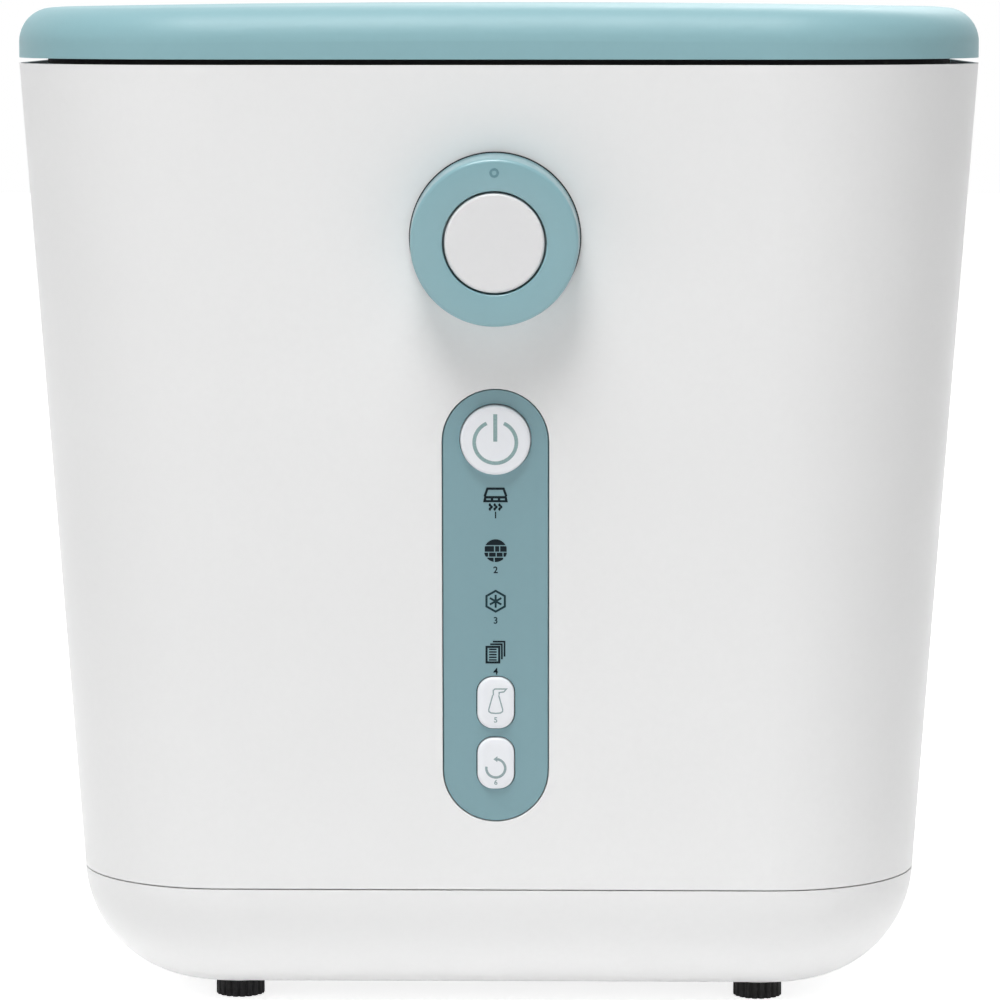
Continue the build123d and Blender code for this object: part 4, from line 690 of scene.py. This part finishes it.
# ------------------------------------------------------------------ knob
KNOB_EDGE = 1.2  # rounding of the knob's front edge
KNOB_BACK_EDGE = 0.3
KNOB_WELL_EDGE = 0.4  # rounding where the front turns into the cap's well
KNOB_TAPER = 0.5  # the knob narrows by this from back to front
KNOB_PLATE = 2.2  # thickness under the cap
KNOB_HUB_WALL, KNOB_RIM_WALL = 4.0, 4.5
KNOB_GAP = 1.0  # between the knob's back edge and the wall
SHADE_RING_PROUD = 0.3  # the painted shade ring in that gap stands out from under the knob by this
SHADE_RING_FREE = 0.15  # from the painted shade ring to the knob
CAP_GAP = 0.6
MARK_R, MARK_HOLE_R = 1.5, 0.7  # the small darker ring on the knob's face, painted shade of its index pit
MARK_UP = 1.0  # above the middle of the face's width


def make_knob():
    """The knob's ring with its crisp edge, hollow behind; a near-black ring between it and the wall,
    as painted shade of that gap; a darker ring on its face, as painted shade of its index pit.
    """
    face = on_face("knob_cap", FRONT)
    _, cap_r, cap_floor = measure("knob_cap", face)
    bore, back_r, back = measure("knob_ring", face)
    plate = cap_floor - KNOB_PLATE
    hub_r, rim_in = bore + KNOB_HUB_WALL, back_r - KNOB_RIM_WALL
    front_r, well_r = back_r - KNOB_TAPER, cap_r + CAP_GAP
    profile = (
        # radius, height, rounding
        (bore, back, 0),
        (hub_r, back, 0),
        (hub_r, plate, 0),
        (rim_in, plate, 0),
        (rim_in, back, KNOB_BACK_EDGE),
        (back_r, back, KNOB_BACK_EDGE),
        (front_r, 0, KNOB_EDGE),
        (well_r, 0, KNOB_WELL_EDGE),
        (well_r, cap_floor, 0),
        (bore, cap_floor, 0),
    )
    mesh = bmesh.new()
    lathe(mesh, face, round_corners([row[:2] for row in profile], [row[2] for row in profile]))
    ring = finish_piece("knob_grip", mesh, knob_teal, "knob", SOFT_EDGE)
    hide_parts("knob_ring")

    # painted shade: a near-black ring in the gap behind the knob, in place of the gap's own shade
    mesh = bmesh.new()
    lathe(mesh, face, rectangle(rim_in, back - KNOB_GAP, back_r + SHADE_RING_PROUD, back - SHADE_RING_FREE))
    finish_piece("knob_gap_shade", mesh, painted_gap_shade, "housing", SOFT_EDGE)

    # painted shade: a darker ring printed where the index pit's shade would fall
    mark = [[circle(MARK_R), circle(MARK_HOLE_R)]]
    print_on("knob_pit_shade", face, mark, painted_pit_shade, "knob", (0, (front_r + cap_r) / 2 + MARK_UP))


make_knob()

# ------------------------------------------------------------------ keys
KEY_CORNER = 5.0
KEY_BORDER, KEY_FALL = 2.2, 1.0  # the border's width, and how far it falls
KEY_SKIRT = 3.0  # the walls reach this far below the face
KEY_RIM = 1.0  # what lies within this of the face gives the outline
KEY_STEPS, KEY_CORNER_STEPS = 10, 12


def make_key(node, body):
    """A key with a flat middle whose border falls off in a quarter ellipse."""
    face = on_face(node, FRONT)
    into = face.inverted()
    points = [into @ v.co / MM for v in nodes[node].data.vertices]
    rim = [p for p in points if p.z > -KEY_RIM]
    half_w, half_h = max(p.x for p in rim), max(p.y for p in rim)
    levels = [(0.0, -KEY_SKIRT)]
    for i in range(KEY_STEPS + 1):
        turn = pi / 2 * i / KEY_STEPS
        levels.append((KEY_BORDER * (1 - cos(turn)), KEY_FALL * (sin(turn) - 1)))
    loops = []
    for inset, height in levels:
        w, h = half_w - inset, half_h - inset
        radii = [KEY_CORNER - inset] * 4
        loops.append(lift(round_corners(rectangle(-w, -h, w, h), radii, KEY_CORNER_STEPS), height))
    mesh = bmesh.new()
    rings = add_skin(mesh, loops, face)
    mesh.faces.new(rings[-1])
    mesh.faces.new(rings[0][::-1])
    key = finish_piece(node + "_cap", mesh, key_white, body, SOFT_EDGE)
    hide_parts(node)


make_key("clean_button", "clean_key")
make_key("reset_button", "reset_key")

# ------------------------------------------------------------------ power inlet
INLET_PINS = ((-7.0, -2.0), (7.0, -2.0), (0.0, 2.0))  # about the inlet's middle
PIN_HALF_W, PIN_HALF_H = 1.05, 2.05
PIN_TIP, PIN_ROOT = -3.4, -15.5  # levels below the inlet's rim
PIN_CHAMFER = 0.5  # the tip narrows by this on each side, over a length of twice as much


def make_inlet_pins():
    """Plated blades over the inlet's moulded pins, with chamfered tips."""
    face = on_face("power_inlet", REAR)
    levels = ((0.0, PIN_ROOT), (0.0, PIN_TIP - 2 * PIN_CHAMFER), (PIN_CHAMFER, PIN_TIP))
    mesh = bmesh.new()
    for x, y in INLET_PINS:
        loops = []
        for inset, height in levels:
            w, h = PIN_HALF_W - inset, PIN_HALF_H - inset
            loops.append(lift(rectangle(x - w, y - h, x + w, y + h), height))
        rings = add_skin(mesh, loops, face)
        mesh.faces.new(rings[0][::-1])
        mesh.faces.new(rings[-1])
    finish_piece("inlet_pins", mesh, turned_steel, "housing")


make_inlet_pins()

# ------------------------------------------------------------------ screws
# shares of a screw head's radius and of its height
SHANK_R = 0.5
HEAD_TOP_R = 0.8
PAN = ((1.0, -1.0), (1.0, -0.55), (0.94, -0.2), (HEAD_TOP_R, 0.0))
CROSS_REACH, CROSS_HALF, CROSS_DEPTH = 0.55, 0.13, 0.6
HEAD_ONLY = 0.8  # only the head has points further out than this share of its radius
HEAD_STEPS = 32


def plus_sign(reach, half):
    """Outline of a cross recess."""
    outline = []
    for quarter in range(4):
        for x, y in ((half, -half), (reach, -half), (reach, half)):
            outline.append(turned(x, y, pi / 2 * quarter))
    return outline


def solids_of(node):
    """The points of each separate solid in a node."""
    mesh = bmesh.new()
    mesh.from_mesh(nodes[node].data)
    bmesh.ops.remove_doubles(mesh, verts=mesh.verts, dist=SAME_POINT)
    left = set(mesh.verts)
    while left:
        found, edge = set(), {min(left, key=lambda v: v.index)}
        while edge:
            found |= edge
            edge = {e.other_vert(v) for v in edge for e in v.link_edges} - found
        left -= found
        yield [v.co.copy() for v in found]
    mesh.free()


def make_screws(node, out, body):
    """Pan head screws with a cross recess, where a node has plain ones that point out."""
    right = Vector((1, 0, 0))
    axes = Matrix((right, out.cross(right), out)).transposed().to_4x4()
    mesh = bmesh.new()
    for points in solids_of(node):
        axis = Vector([(min(p[i] for p in points) + max(p[i] for p in points)) / 2 for i in (0, 1)])
        reach = max((p.xy - axis).length for p in points)
        head = [p.dot(out) for p in points if (p.xy - axis).length > HEAD_ONLY * reach]
        end = min(p.dot(out) for p in points)
        top = Matrix.Translation((axis.x, axis.y, out.z * max(head))) @ axes
        radius, tall = reach / MM, (max(head) - min(head)) / MM
        profile = [(SHANK_R * radius, (end - max(head)) / MM), (SHANK_R * radius, -tall)]
        profile += [(wide * radius, high * tall) for wide, high in PAN]
        rings = add_skin(mesh, [lift(circle(r, HEAD_STEPS), z) for r, z in profile], top)
        mesh.faces.new(rings[0][::-1])
        cross = plus_sign(CROSS_REACH * radius, CROSS_HALF * radius)
        floor, mouth = add_skin(mesh, [lift(cross, z) for z in (-CROSS_DEPTH * tall, 0.0)], top)
        mesh.faces.new(floor)
        flat = [lift(outline, 0) for outline in (circle(HEAD_TOP_R * radius, HEAD_STEPS), cross)]
        corners = rings[-1] + mouth
        for a, b, c in tessellate_polygon([[Vector(p) for p in loop] for loop in flat]):
            mesh.faces.new((corners[a], corners[b], corners[c]))
    piece = finish_piece(node + "_cross", mesh, turned_steel, body, SOFT_EDGE)
    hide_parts(node)


make_screws("deck_screws", UP, "housing")
make_screws("case_screws", DOWN, "housing")
make_screws("lid_screws", DOWN, "lid")

# ------------------------------------------------------------------ studio
FLOOR_HALF = 6.0
GLOW_START, GLOW_END = 0.25, 1.5  # the floor's own glow grows over this distance from the middle
GLOW_LOW, GLOW_HIGH = 0.8, 1.0
WORLD_LIGHT, WORLD_SEEN = 0.15, 1.0
MIDDLE = (0, 0, 0.16)
LIGHTS = (
    # name, place, where it aims, width, height, watts
    ("key_light", (-0.35, -1.6, 2.35), MIDDLE, 0.8, 0.8, 14.5),
    ("top_light", (-0.25, -0.9, 2.5), MIDDLE, 1.2, 1.2, 50.0),
    ("left_light", (-2.2, -1.6, 0.9), MIDDLE, 1.4, 1.4, 4.5),
    ("right_light", (2.3, -1.5, 0.9), MIDDLE, 1.4, 1.4, 4.0),
    ("rear_light", (0.6, 2.2, 1.9), MIDDLE, 1.4, 1.4, 22.0),
    # a card on the floor in front, which lights the rounded bottom edge
    ("card_light", (0, -0.15, 0.003), (0, -0.149, 1.0), 0.44, 0.14, 0.017),
)


def seen_directly(tree):
    """1 for rays from the camera, mirrors and glass, 0 for the light that reaches the object."""
    path = put(tree, "LightPath")
    camera, mirror, glass = (path.outputs[f"Is {k} Ray"] for k in ("Camera", "Glossy", "Transmission"))
    return maths(tree, "MAXIMUM", maths(tree, "MAXIMUM", camera, mirror), glass)


def blended(tree, share, first, second):
    """The first shader at share 0, the second at share 1."""
    inputs = {0: share, 1: first.outputs[0], 2: second.outputs[0]}
    return put(tree, "MixShader", inputs)


def make_world():
    """A white background that gives the object only a little light."""
    world = bpy.data.worlds.new("studio")
    world.use_nodes = True
    tree = world.node_tree
    tree.nodes.clear()
    light = put(tree, "Background", {"Color": (1, 1, 1, 1), "Strength": WORLD_LIGHT})
    white = put(tree, "Background", {"Color": (1, 1, 1, 1), "Strength": WORLD_SEEN})
    both = blended(tree, seen_directly(tree), light, white)
    put(tree, "OutputWorld", {"Surface": both.outputs[0]})
    bpy.context.scene.world = world


def make_floor():
    """White paper that fades into the background, and is clear from below."""
    material = bpy.data.materials.new("studio_floor")
    material.use_nodes = True
    tree = material.node_tree
    tree.nodes.clear()
    at = place(tree)
    tint = mix(tree, noise(tree, at, 3.0), (0.88, 0.88, 0.88), (0.9, 0.9, 0.9))
    paper = put(tree, "BsdfDiffuse", {"Color": tint})
    reach = put(tree, "VectorMath", {0: at}, operation="LENGTH").outputs["Value"]
    strength = spread(tree, reach, GLOW_LOW, GLOW_HIGH, GLOW_START, GLOW_END)
    glow = put(tree, "Emission", {"Color": (1, 1, 1, 1), "Strength": strength})
    lit = put(tree, "AddShader", {0: paper.outputs[0], 1: glow.outputs[0]})
    both = blended(tree, seen_directly(tree), paper, lit)
    below = put(tree, "NewGeometry").outputs["Backfacing"]
    sheet = blended(tree, below, both, put(tree, "BsdfTransparent"))
    put(tree, "OutputMaterial", {"Surface": sheet.outputs[0]})
    mesh = bmesh.new()
    bmesh.ops.create_grid(mesh, x_segments=1, y_segments=1, size=FLOOR_HALF)
    data = bpy.data.meshes.new("studio_floor")
    mesh.to_mesh(data)
    mesh.free()
    data.materials.append(material)
    floor = bpy.data.objects.new("studio_floor", data)
    bpy.context.scene.collection.objects.link(floor)


def make_lights():
    for name, at, aim, width, height, watts in LIGHTS:
        data = bpy.data.lights.new(name, "AREA")
        data.shape = "RECTANGLE"
        data.size, data.size_y = width, height
        data.energy = watts
        lamp = bpy.data.objects.new(name, data)
        lamp.location = at
        lamp.rotation_mode = "QUATERNION"
        lamp.rotation_quaternion = (Vector(aim) - Vector(at)).to_track_quat("-Z", "Y")
        lamp.visible_camera = False
        bpy.context.scene.collection.objects.link(lamp)


def make_camera():
    data = bpy.data.cameras.new("camera")
    data.sensor_width = SENSOR
    data.lens = FOCAL_LENGTH
    data.clip_start, data.clip_end = NEAREST, FURTHEST
    camera = bpy.data.objects.new("camera", data)
    camera.location = CAMERA_AT
    camera.rotation_euler = (pi / 2 - CAMERA_TILT, 0.0, CAMERA_TURN)
    bpy.context.scene.collection.objects.link(camera)
    bpy.context.scene.camera = camera


make_world()
make_floor()
make_lights()
make_camera()
bpy.context.scene.view_settings.view_transform = "Standard"
